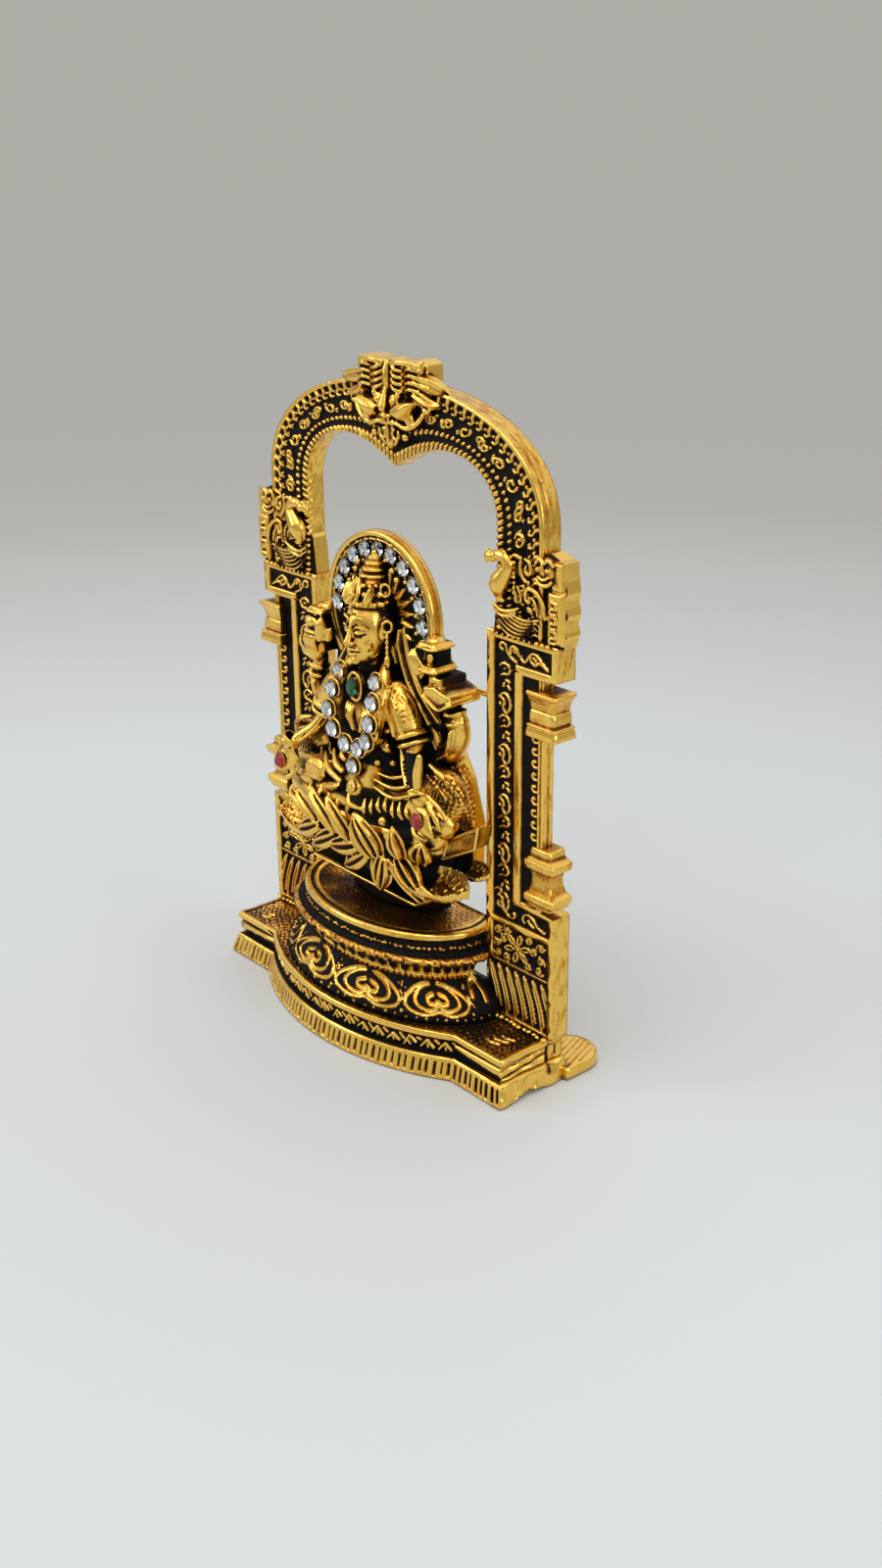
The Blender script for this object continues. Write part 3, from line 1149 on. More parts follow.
# A stepped moulding that wraps the shaft's front and outer side: height and how far it stands out.
def mouldingBody(profile):
    profile = sampled(profile, 0.13)
    z, out = profile[:, 0], profile[:, 1]
    corners = []
    for level, grow in zip(z, out):
        x1, y0 = 28.35 + 1.45 * grow, 0.35 - 0.85 * grow
        x0, y1 = 26.3 - 0.7 * grow, 3.0 - 0.3 * (1.5 - grow)
        edge = 0.18
        line = [(x0, y1), (x0, y0), (x0 + edge, y0 - 0.02),
            *[(x, y0 - 0.05) for x in np.linspace(x0 + 0.6, x1 - 0.6, 14)], (x1 - edge, y0),
            (x1, y0 + edge), *[(x1 + 0.03, y) for y in np.linspace(y0 + 0.6, y1 - 0.5, 8)], (x1, y1 - edge),
            (x1 - edge, y1)]
        corners.append([(x, y, level) for x, y in line])
    rows = np.array(corners)
    bends = np.abs(np.gradient(np.gradient(out)))
    slope = np.abs(np.gradient(out))
    dip = np.clip((softRow(out, 9) - out) * 2.4, 0, 1)
    black = np.repeat((0.75 * dip + 0.4 * np.clip(bends * 6, 0, 1) * (slope > 0))[:, None], rows.shape[1], 1)
    return skin(rows, wrap=True, black=np.clip(black, 0, 0.95))


def softRow(values, reach):
    padded = np.pad(values, reach, mode="edge")
    return np.convolve(padded, np.ones(2 * reach + 1) / (2 * reach + 1), mode="valid")


upperMoulding = [
    (47.5, 0.3), (47.6, 1.3), (47.75, 1.42), (48.3, 1.36), (48.9, 1.2), (49, 1.3), (49.2, 1.3),
    (49.3, 0.95), (49.45, 0.85), (49.6, 0.98), (50.9, 0.9), (51.05, 0.72), (51.2, 0.78), (52, 0.9),
    (52.8, 1.2), (52.95, 1.38), (53.3, 1.42), (53.45, 1.2), (53.5, 0.3),
]
lowerMoulding = [
    (24.9, 0.3), (24.95, 1), (25.6, 1.1), (25.7, 1.35), (26.5, 1.4), (26.7, 1.2), (27, 0.75), (27.8, 0.5),
    (28.8, 0.42), (29.7, 0.6), (30.1, 0.95), (30.2, 1.25), (31.2, 1.4), (31.35, 1.1), (31.6, 0.85),
    (31.75, 0.6), (32.4, 0.62), (32.8, 0.5), (32.9, 0.2),
]


def castingRods():
    return [
        rod([(14.2, 0.5, 50.5), (18.1, 0.6, 50.5)], 0.38, sides=12),
        rod([(15.2, 1.6, 17.25), (18.1, 1.6, 17.25)], 0.38, sides=12),
    ]


print("arch and pillars")
gild(sheetPiece("archBand", [archBand()]), "arch_frame")
rightPillar = [pillarBody(), mouldingBody(upperMoulding), mouldingBody(lowerMoulding), *castingRods()]
gild(sheetPiece("rightPillar", rightPillar), "arch_frame")
gild(sheetPiece("leftPillar", [mirror(own) for own in rightPillar]), "arch_frame")


# Peacocks on the capitals: places are across from the opening, back from the front face, up from the capital

def ringRod(centre, axis, radius, thick, squash=1.0, turns=(0, 2 * pi)):
    axis = unit(axis)
    side = unit(np.cross(axis, (0, 0, 1) if abs(axis[2]) < 0.9 else (1, 0, 0)))
    up = np.cross(axis, side)
    a = np.linspace(*turns, 18)[:, None]
    return rod(np.asarray(centre, float) + (side * np.cos(a) + up * np.sin(a) * squash) * radius, thick,
        axis, sides=8)


peacockLook = {
    "lines": [  # radius, place back and places across and up
        (0.27, -0.5, (1.5, 3.7), (3, 3), (4.6, 3.2), (6, 3.75)),
        (0.22, -0.45, (1.5, 3.1), (3, 2.35), (4.6, 2.6), (5.6, 3.1)),
        (0.3, -0.35, (7.1, 5), (7.2, 6.1), (8, 6.5), (9.3, 5.9), (10.1, 4.8), (10.4, 3.3)),
        (0.26, -0.35, (7.1, 5), (7.7, 4.8), (7.8, 5.4)),
        (0.22, -0.35, (8.2, 5.5), (8.9, 4.6), (9.2, 3.4)),
        (0.22, -0.35, (7.4, 4.1), (8, 4), (8.3, 3.3)),
        (0.2, -0.35, (5.6, 6.4), (6.3, 5.4), (6.3, 4.4)),
        (0.18, -0.35, (5, 6), (5.5, 5.2), (5.6, 4.5)),
        (0.27, -0.35, (6.3, 10), (6.2, 8.6), (6.9, 7.4), (7.7, 7.2)),
        (0.24, -0.35, (6.9, 9.9), (7.7, 9.6), (8, 8.6), (7.5, 8.1), (7, 8.6), (7.2, 9.1)),
        (0.26, -0.35, (4.6, 9.8), (5.3, 10.1), (6.1, 9.9)),
        (0.3, -0.35, (8.7, 9.7), (9.3, 10.35), (10.1, 10), (10.9, 10.4), (11.6, 9.8)),
        (0.3, -0.35, (8.8, 7.9), (9.6, 7.35), (10.6, 7.35), (11.4, 7.9)),
        (0.2, -0.55, (9.2, 8.3), (10.1, 8), (11, 8.35)),
        (0.3, -0.65, (10.1, 9.8), (10.1, 8.8)),
    ],
}


def peacock():
    def at(x, y, z):
        return pillarLook["inner"] + x, y, pillarLook["capitalTop"] + z

    def line(*spots, y=-0.35, radius=0.22):
        ends = [radius * 0.7] + [radius] * (len(spots) - 2) + [radius * 0.7]
        return rod([at(x, y, z) for x, z in spots], ends, sides=8)

    outline = [at(x, 0, z)[::2] for x, z in [
        (0.6, -0.3), (12.6, -0.3), (13.1, 1.4), (12.8, 2.6), (13.2, 3.9), (12.9, 5.2), (13.1, 6.6),
        (12.8, 8.6), (12.2, 10.2), (10.2, 11), (8.6, 10.4), (6.8, 10.2), (5.2, 9.8), (3.6, 8.4), (2, 6.2),
        (1.2, 5), (0.9, 3),
    ]]
    parts = [slab(outline, 0.42, 3.15, 0.25)]
    neck = [at(1.7, -0.6, 9.5), at(2.8, -0.75, 9.75), at(3.95, -0.75, 9.5), at(4.4, -0.7, 8.6),
        at(3.7, -0.7, 7.5), at(2.8, -0.7, 6.3), at(2.5, -0.45, 5.2)]
    swelling = np.interp(np.linspace(0, 6, 22), range(7), [0.55, 0.72, 0.74, 0.84, 1.1, 1.4, 0.9])
    for spot, size in zip(smoothLine(neck, 22), swelling):
        parts.append(lump(spot, (size, size * 0.8, size), 0, 16, 10))
    parts += [
        rod([at(1.9, -0.65, 9.4), at(1, -0.65, 9.3), at(0.6, -0.55, 8.7)], [0.75, 0.68, 0.35], sides=16),
        bead(at(1.1, -1, 10.05), 0.34),
        bead(at(3.9, -0.9, 10.3), 0.32),
        lump(at(3, -0.5, 4.25), (0.75, 0.4, 0.32)),
    ]
    parts += [line(*spots, y=y, radius=radius) for radius, y, *spots in peacockLook["lines"]]
    for i in range(6):
        end = (7.4 + 0.4 * i, 0.35 + 0.52 * i)
        parts.append(line((1.9 + 0.5 * i, 2.0 + 0.16 * i), (3.1 + 0.55 * i, 0.8 + 0.36 * i),
            (5.0 + 0.48 * i, 0.12 + 0.48 * i), end, radius=0.2, y=-0.4))
        parts.append(line(end, (end[0] + 0.45, end[1] - 0.35), radius=0.15, y=-0.25))
    parts += [bead(at(5.15 - 0.02 * i, -0.3, 9.2 - 0.62 * i), (0.27, 0.3, 0.24)) for i in range(7)]
    parts.append(lump(at(10.2, 0.7, 8.9), (1.75, 1.25, 1.75)))
    parts += [bead(at(x, -0.55, 9.2), (0.36, 0.35, 0.32)) for x in (9.35, 10.85)]
    for x0, x1, front, z0, z1, edge in ((10.6, 13, -0.2, 0.3, 6.7, 0.35), (11, 12.9, 0, 6.7, 10.3, 0.3)):
        parts.append(block(at(x0, 0, 0)[0], at(x1, 0, 0)[0], front, 2.9, at(0, 0, z0)[2], at(0, 0, z1)[2],
            edge))
    for i in range(3):
        z = 1.3 + 1.75 * i
        parts.append(line((11.2, z + 0.75), (12.1, z + 0.6), (12, z), (11.3, z - 0.1), (11.2, z - 0.6),
            (12, z - 0.75), radius=0.2, y=-0.32))
    return parts + [bead(at(1.4 + i * 0.95, -0.2, -0.05), (0.4, 0.45, 0.36)) for i in range(11)]


def flatGround(depth, width=0.5):
    def ground(places, normals):
        return step(places[:, 1] - depth, width) * np.clip(-normals[:, 1] * 1.6, 0, 1) * 0.95
    return ground


# Black behind the bird and between the quills of its fan.
def peacockGround(places, normals):
    x, z = np.abs(places[:, 0]) - pillarLook["inner"], places[:, 2] - pillarLook["capitalTop"]
    fan = (between(x, 1.8, 8.6, 0.2) * between(z, -0.2, 3.4, 0.2) * step(places[:, 1] + 0.53, 0.07)
        * step(-normals[:, 1], 0.2))
    return np.maximum(flatGround(0.25)(places, normals), 0.95 * fan)


# Lion-face crest: places are across, back, and down from the top

crestLook = {
    "cheekLines": [
        [(0.85, -0.95, -0.3), (1.8, -1.2, 0.15), (2.9, -0.95, 0.3)],
        [(3.5, -0.8, 0.1), (4.6, -1, -0.1), (5.8, -0.75, 0.15)],
    ],
    "sideRods": [  # on both sides
        ([0.3, 0.4, 0.4, 0.3], 10, (1, -0.95, 0.7), (2.4, -1.1, 0.55), (4.2, -0.95, 0.5), (5.6, -0.8, 0.8)),
        ([0.2, 0.3, 0.36, 0.36, 0.24], 10, (0.7, -1, 8.2), (1.9, -1, 8), (3.6, -0.85, 8.4),
         (5.5, -0.7, 7.6), (6.9, -0.5, 5.9)),
        (0.24, 8, (1.8, -0.65, 9), (1.6, -0.6, 10), (0.9, -0.5, 10.8)),
    ],
    "sideLumps": [  # on both sides
        (1.5, -1.2, 5.3, 0.5),
        (2.3, -1.05, 4.55, 0.4),
        (3, -0.5, 9.6, (0.5, 0.5, 0.5)),
    ],
}


def crest():
    look = crestLook
    top = frameHigh[2] - 0.05

    def at(x, y, down):
        return x, y, top - down

    edge = [(1.2, 11.8), (3.6, 9.4), (5.6, 6.6), (6.3, 2.8), (6.2, 0.6), (4.9, 0.1), (2.4, 0.5), (1, 0.4),
        (0, 0.9)]
    outline = [(x, top - down) for x, down in edge + [(-x, down) for x, down in edge[-2::-1]]]
    parts = [
        slab(outline, 0.05, 3.15, 0.25),
        rod([at(0, -0.8, 0.8), at(0, -1, 2.2), at(0, -0.9, 3.8)], [0.42, 0.5, 0.4]),
        rod([at(0, -1.1, 3.9), at(0, -1.45, 5), at(0, -1.7, 6.1)], [0.3, 0.42, 0.6]),
        lump(at(0, -1.2, 7.1), (1.2, 0.62, 0.36)),
        leaf(at(0, -0.55, 8), at(0, -0.3, 11.4), 1.9, 0.6, ribs=2),
    ]
    right = [
        block(0.75, 3, -0.8, 0.4, top - 4.3, top - 0.35, 0.35),
        block(3.4, 6, -0.6, 0.4, top - 3.9, top - 0.2, 0.35),
        leaf(at(1.7, -0.95, 6.7), at(5.4, -0.8, 5.2), 2.5, 1.1, (0, -1, 0.2), 0.3, ribs=0, blunt=0.8,
            lean=0.3),
        leaf(at(3, -0.95, 5.6), at(4.7, -0.5, 8.2), 2.1, 0.6, bend=0.1),
        ringRod(at(1.5, -1.15, 5.3), (0, -1, 0.1), 0.72, 0.17),
        leaf(at(5, -0.5, 4.2), at(9, 0.1, 5.2), 2, 0.7, ribs=2, lean=0.4),
        leaf(at(4.6, 0, 2.7), at(10.4, 0.9, 4.3), 2.5, 1.1, (0.1, -0.75, 0.65), 0.35, ribs=2, lean=-0.3),
        ringRod(at(7, -0.5, 5.6), (0, -1, 0), 0.6, 0.22, turns=(0, 4.8)),
        ringRod(at(1.3, -0.7, 9.4), (0, -1, 0), 0.62, 0.24, turns=(-1.2, 3.4)),
    ]
    right += rodsFrom(look["sideRods"], at) + lumpsFrom(look["sideLumps"], at)
    for i in range(4):
        down = 1.25 + 0.82 * i
        for spots in look["cheekLines"]:
            right.append(rod([at(x, y, down + z) for x, y, z in spots], [0.2, 0.28, 0.2], sides=8))
    right += [bead(at(0.4 + i * 0.7, -1.05 + i * 0.1, 7.85 + 0.02 * i), (0.28, 0.34, 0.42)) for i in range(3)]
    return parts + bothSides(right)


def crestGround(places, normals):
    leafTop = (step(np.abs(places[:, 0]) - 4.6, 0.3) * step(places[:, 2] - (frameHigh[2] - 5.4), 0.4)
        * step(normals[:, 2] - 0.1, 0.3))
    return flatGround(-0.1)(places, normals) * (1 - leafTop)


print("peacocks and crest")
for name, parts in (("rightPeacock", peacock()), ("leftPeacock", [mirror(own) for own in peacock()])):
    gild(weld(name, parts, 0.11, soften=2, ground=peacockGround), "arch_frame")
gild(weld("lionCrest", crest(), 0.12, ground=crestGround), "arch_frame")


# Goddess: places are across, back, and up from her seat's foot

def seat(x, y, z):
    return np.array([x, y, seatZ + z])


haloLook = {
    "centre": seat(0, -2.5, 39.9),
    "radius": 10.8,
    "thick": 1.4,
    "stones": 11,
    "stoneRing": 0.8,  # share of the radius
    "settingRing": 1.34,  # the beads about each stone
    "settingBeads": 8,
    "rays": 25,
    "rayFoot": 4.5,
    "rayTip": 7,
}


def haloPlate():
    look = haloLook
    cx, cy, cz = look["centre"]
    big = look["radius"]
    radius = spread(0.3, big - 0.1, 0.13)
    angle = fullTurn(int(420 / coarser))[None, :]
    r = radius[:, None] + 0 * angle
    a = angle + 0 * r
    x, z = r * np.sin(a), r * np.cos(a)
    height = 0.55 * between(r, big - 0.72, big + 1, 0.12) + 0.42 * between(r, big - 1.2, big - 0.92, 0.1)
    height = np.minimum(height, 0.55)
    mark = partial(draw, height, x, z)
    turn = pi / (look["stones"] - 1)
    for i in range(look["stones"]):
        turned = -pi / 2 + i * turn
        spot = (look["stoneRing"] * big * sin(turned), look["stoneRing"] * big * cos(turned))
        for k in range(look["settingBeads"]):
            b = k * 2 * pi / look["settingBeads"]
            ring = look["settingRing"]
            mark([(spot[0] + ring * cos(b), spot[1] + ring * sin(b))], 0.42, 0.34)
        for share, offset, wide in ((0.672, 0.5, 0.75), (0.905, 0.5, 0.62)):
            b = turned + turn * offset
            mark([(share * big * sin(b), share * big * cos(b))], wide, 0.5)
    tooth = np.abs((a * look["rays"] / (2 * np.pi)) % 1 - 0.5) * 2
    foot, tip = look["rayFoot"], look["rayTip"]
    ray = step(tip + (foot - tip) * tooth - r, 0.16) * step(r - foot + 0.25, 0.1)
    height = np.maximum(height, (0.62 - 0.25 * tooth) * ray)
    black = (1 - step(height - 0.16, 0.16)) * 0.98
    lines = np.stack([cx + x, cy - height, cz + z], -1)
    rim = [(grow - 0.02 + big, y, shade) for grow, y, shade in (
        (0, -0.3, 0.05), (0.08, -0.1, 0.05), (0.1, 0.5, 0.3), (0.1, 0.9, 0.05), (0, 1.25, 0.05),
        (-0.3, look["thick"], 0.05))]
    rim += [(big * share, look["thick"], 0.15) for share in (0.6, 0.3, 0.05)]
    sides = [np.stack([cx + q * np.sin(a[0]), np.full(a.shape[1], cy + y), cz + q * np.cos(a[0])], -1)
        for q, y, shade in rim]
    sideBlack = [np.full(a.shape[1], shade) for q, y, shade in rim]
    return skin(np.concatenate([lines, np.array(sides)]), wrap=True,
        black=np.concatenate([black, np.array(sideBlack)]))


# A body of oval rings: each level is across, back, up, half-width and half-depth.
def ovalBody(levels, around=30):
    levels = smoothLine(np.asarray(levels, float), max(int(len(levels) * 7), 12))
    angle = fullTurn(around)
    rows = [np.stack([x + wide * np.cos(angle), y + deep * np.sin(angle), np.full(around, seatZ + z)], -1)
        for x, y, z, wide, deep in levels]
    return skin(rows, wrap=True)


def ringTier(y, z, radius, thick):
    return ovalBody([(0, y, z - thick, radius * 0.8, radius * 0.76),
        (0, y, z - thick * 0.4, radius, radius * 0.94), (0, y, z + thick * 0.4, radius, radius * 0.94),
        (0, y, z + thick, radius * 0.75, radius * 0.7)])


# Places moved over to the right side, so that one shape serves both.
def onRight(places):
    return np.abs(places * [1, 0, 0]) + places * [0, 1, 1]


# How near places are to a line through spots about the seat: one on the line, none beyond the width.
def nearLine(places, spots, width, soft=0.2):
    line = [seat(*spot) for spot in spots]
    best = np.full(len(places), 99)
    for start, end in zip(line[:-1], line[1:]):
        along = end - start
        t = np.clip(((places - start) @ along) / max(along @ along, 1e-9), 0, 1)
        best = np.minimum(best, np.linalg.norm(places - start - t[:, None] * along, axis=1))
    return step(width - best, soft)


veilLines = [
    [(4.4, -3.3, 38.6), (4.4, -3.4, 36.4), (6.6, -3.6, 32), (10.2, -3.4, 27.6)],
    [(5, -3, 38.8), (6.2, -3.2, 35), (8.8, -3.4, 31.2), (11.8, -3.1, 28.2)],
]


headLook = {
    "ink": [  # black lines of brow, eye, mouth and headband: width, how soft, how dark, places
        (0.2, 0.12, 1, (0.35, -7.5, 39), (1.2, -7.5, 39.62), (1.95, -7, 39.5), (2.5, -6.4, 39.1)),
        (0.13, 0.1, 1, (0.5, -7.5, 38.62), (1.2, -7.6, 38.98), (1.9, -7.1, 38.85)),
        (0.14, 0.1, 1, (0.55, -7.5, 38.15), (1.2, -7.4, 38.02), (2, -6.9, 38.3)),
        (0.14, 0.1, 1, (0, -7.7, 35.8), (0.55, -7.5, 35.85), (1.05, -7.05, 35.85)),
        (0.14, 0.14, 0.7, (0.7, -7.6, 37.5), (0.95, -7.4, 36.9), (0.7, -7.5, 36.6)),
        (0.26, 0.2, 1, (0, -7.3, 41.5), (1.6, -6.9, 41.4), (2.9, -5.6, 41.2)),
    ],
    "rods": [  # radii, sides and places
        ([0.27, 0.34, 0.48], 10, (0, -7.4, 39.7), (0, -7.8, 38.3), (0, -8.25, 37.1)),
        ([0.1, 0.24, 0.2, 0.24, 0.1], 10, (-0.95, -7.15, 35.95), (-0.35, -7.7, 36.2), (0, -7.72, 36.1),
         (0.35, -7.7, 36.2), (0.95, -7.15, 35.95)),
        ([0.12, 0.3, 0.12], 10, (-0.72, -7.1, 35.6), (0, -7.68, 35.45), (0.72, -7.1, 35.6)),
    ],
    "lumps": [  # place and size
        (0, -6.85, 34.55, (0.85, 0.62, 0.66)),
        (0, -7.5, 40.9, (0.26, 0.25, 0.3)),
        (0, -3.35, 48, (0.55, 0.5, 0.55)),
        (0, -7.4, 43.3, (0.55, 0.5, 0.6)),
    ],
    "sideRods": [  # on both sides
        ([0.1, 0.17, 0.16, 0.09], 8, (0.42, -7.5, 38.75), (1.2, -7.62, 39.28), (1.9, -7.2, 39.1),
         (2.35, -6.6, 38.8)),
        ([0.08, 0.13, 0.08], 8, (0.5, -7.42, 38.6), (1.2, -7.5, 38.32), (2, -6.95, 38.55)),
        ([0.14, 0.21, 0.17, 0.1], 8, (0.35, -7.55, 39.95), (1.3, -7.45, 40.45), (2.15, -6.75, 40.2),
         (2.6, -6.2, 39.8)),
    ],
    "sideLumps": [  # on both sides
        (0.44, -7.8, 36.95, (0.32, 0.4, 0.28)),
        (1.5, -6.2, 36.9, (0.95, 0.75, 1.15)),
        (3.1, -4.6, 38.4, (0.45, 0.85, 1.25)),
        (3.85, -4.8, 34.6, (0.5, 0.45, 0.95)),
        (3.4, -3.4, 46.3, 0.42),
        (4.1, -3.2, 45.2, 0.45),
    ],
}


def headParts():
    look = headLook
    parts = [
        lump(seat(0, -4.7, 38.4), (2.9, 2.9, 4.3), 0, 30, 20),
        lump(seat(0, -5.3, 36), (2.3, 2.1, 2.3), 0, 24, 14),
        lump(seat(0, -3.9, 38.6), (3.5, 2.4, 4), 0, 24, 14),
        ringTier(-4.4, 42.1, 3.1, 0.62),
        ovalBody([(0, -4.2, 42.5, 2.7, 2.6), (0, -4, 43.6, 2.5, 2.35), (0, -3.8, 44.8, 1.9, 1.8),
            (0, -3.7, 45.2, 1.5, 1.4)]),
        ringTier(-3.7, 45.3, 1.95, 0.34),
        ringTier(-3.6, 46.1, 1.62, 0.33),
        ringTier(-3.5, 46.85, 1.3, 0.31),
        ringTier(-3.4, 47.5, 0.95, 0.28),
        leaf(seat(0, -7.3, 42), seat(0, -6, 45.3), 2.2, 0.6, (0, -1, 0.35), ribs=2),
    ]
    parts += rodsFrom(look["rods"], seat) + lumpsFrom(look["lumps"], seat)
    for i in range(-4, 5):
        a = i * 0.36
        parts.append(lump(seat(3.15 * sin(a), -4.4 - 3.0 * cos(a), 42.1), 0.36, 0, 10, 7))
        parts.append(lump(seat(2.75 * sin(a + 0.18), -4.1 - 2.6 * cos(a + 0.18), 43.3), 0.42, 0, 10, 7))
        parts.append(lump(seat(2.3 * sin(a), -3.9 - 2.15 * cos(a), 44.3), 0.34, 0, 10, 7))
    right = [
        lump(seat(1.25, -7, 38.8), (0.78, 0.5, 0.36), 5),
        ringRod(seat(3.8, -4.7, 39.3), (1, -0.7, 0), 0.62, 0.22, 1.2),
        leaf(seat(1.9, -6.7, 42.2), seat(2.2, -5.6, 44.4), 1.4, 0.5, (0.4, -1, 0.3), ribs=1),
        ringRod(seat(3.2, -4.4, 43.9), (1, -1, 0), 0.6, 0.2, 1.3),
    ]
    right += rodsFrom(look["sideRods"], seat) + lumpsFrom(look["sideLumps"], seat)
    for i in range(4):
        right.append(bead(seat(3.85, -4.8, 38.0 - i * 0.72), (0.3, 0.3, 0.36)))
    veil = [[seat(*spot) for spot in line] for line in veilLines]
    right.append(rod([(veil[0][k] + veil[1][k]) / 2 + [0, 0.7, 0] for k in range(4)], 1.35, flat=0.5,
        sides=14))
    right += [rod(line, 0.24, sides=8) for line in veil]
    neck = ovalBody([(0, -4, 30.5, 3.4, 2), (0, -4, 32.4, 2.1, 1.8), (0, -4.2, 35, 1.9, 1.8)])
    return parts + [neck] + bothSides(right)


def headGround(places, normals):
    look = headLook
    side = onRight(places)
    z = side[:, 2] - seatZ
    ear = nearLine(side, [(3.85, -4.8, 40.2), (3.85, -4.8, 33.8)], 1)
    lines = np.maximum(*(nearLine(side, line, 0.36) for line in veilLines))
    hair = step(side[:, 1] + 4.9, 0.5) * step(41.3 - z, 0.4) * (1 - ear)
    throat = step(34.0 - z, 0.5) * 0.9
    black = np.maximum(hair, throat) * (1 - lines)
    face = -0.75 * step(-6.0 - side[:, 1], 0.4) * between(z, 34.4, 41.2, 0.3)
    ink = np.maximum.reduce([nearLine(side, spots, width, soft) * dark
        for width, soft, dark, *spots in look["ink"]])
    return np.where(ink > 0.1, ink, np.where(black > 0.05, black, face)) * 0.97


def bangles(start, end, radius, count, thick=0.26, gap=0.55):
    start, end = np.asarray(start, float), np.asarray(end, float)
    along = unit(end - start)
    return [ringRod(start + along * gap * i, along, radius, thick) for i in range(count)]


# The double lotus that each raised hand holds: thin tiers about a dark core, with one turned petal
def heldLotus():
    parts = [
        block(10.4, 12.6, -3.9, -1.4, seatZ + 34.4, seatZ + 38.6, 0.3),
        lump(seat(11.2, -3, 39), (1.2, 1.2, 0.45)),
        leaf(seat(11.8, -4.3, 36.2), seat(12.4, -4.7, 37.8), 1.3, 0.4, (0, -1, 0), 0.1),
        leaf(seat(10.3, -4.6, 34.6), seat(9.5, -5.2, 37.9), 2.6, 0.7, (-0.2, -1, 0), 0.2, ribs=1),
        leaf(seat(9.2, -4.4, 34.6), seat(8.4, -4.4, 36.6), 1.2, 0.5, (-0.2, -1, 0), 0.1),
    ]
    for z, wide, back in ((35.3, 0.35, -1.2), (38.1, 0, -1.4)):
        parts.append(block(9.8 - wide, 13.0 + wide, -4.8 - wide, back, seatZ + z, seatZ + z + 0.75, 0.3))
    return parts


garland = [(3.7, -6.6, 32.3), (4.2, -7.6, 29.9), (4.3, -8.3, 27.2), (3.5, -8.2, 24.6), (1.35, -7.9, 23)]


def garlandParts():
    parts = []
    path = [(2.4, -3.6, 34.6)] + [(x, y + 1.4, z) for x, y, z in garland] + [(0, -6.5, 22.8)]
    for hand in (-1, 1):
        parts.append(rod([seat(hand * x, y, z) for x, y, z in path], [0.5, 1.1, 1.2, 1.2, 1.2, 1.15, 1.1],
            sides=14))
        for x, y, z in garland:
            parts.append(ringRod(seat(hand * x, y + 0.12, z), (0, -1, 0), 1.27, 0.2))
        outer = [(x + 0.95 * (1 if z > 24 else 0.6), y + 0.7, z - (1.0 if z < 24 else 0.3))
            for x, y, z in garland]
        parts.append(rod([seat(hand * x, y, z) for x, y, z in outer], 0.27, sides=8))
        for i in range(3):
            parts.append(rod([seat(hand * (1.9 - i * 0.5), -5.9, 29.6 - 0.5 * i),
                seat(hand * (2.3 - i * 0.55), -7, 27.2), seat(hand * (0.9 - i * 0.2), -7.2, 24.8)],
                [0.14, 0.27, 0.16], sides=8))
        parts.append(ringRod(seat(hand * 14.6, -8.75, 17.2), (0, -1, 0), 1.24, 0.22))
    parts += [
        lump(seat(0, -6.6, 20.2), (1.45, 0.95, 1.45)),
        ringRod(seat(0, -7.6, 20.2), (0, -1, 0), 1.27, 0.24),
        lump(seat(0, -6.2, 31), (1.5, 1.1, 1.9)),
        ringRod(seat(0, -7.2, 31), (0, -1, 0), 1.38, 0.24, 1.35),
    ]
    return parts


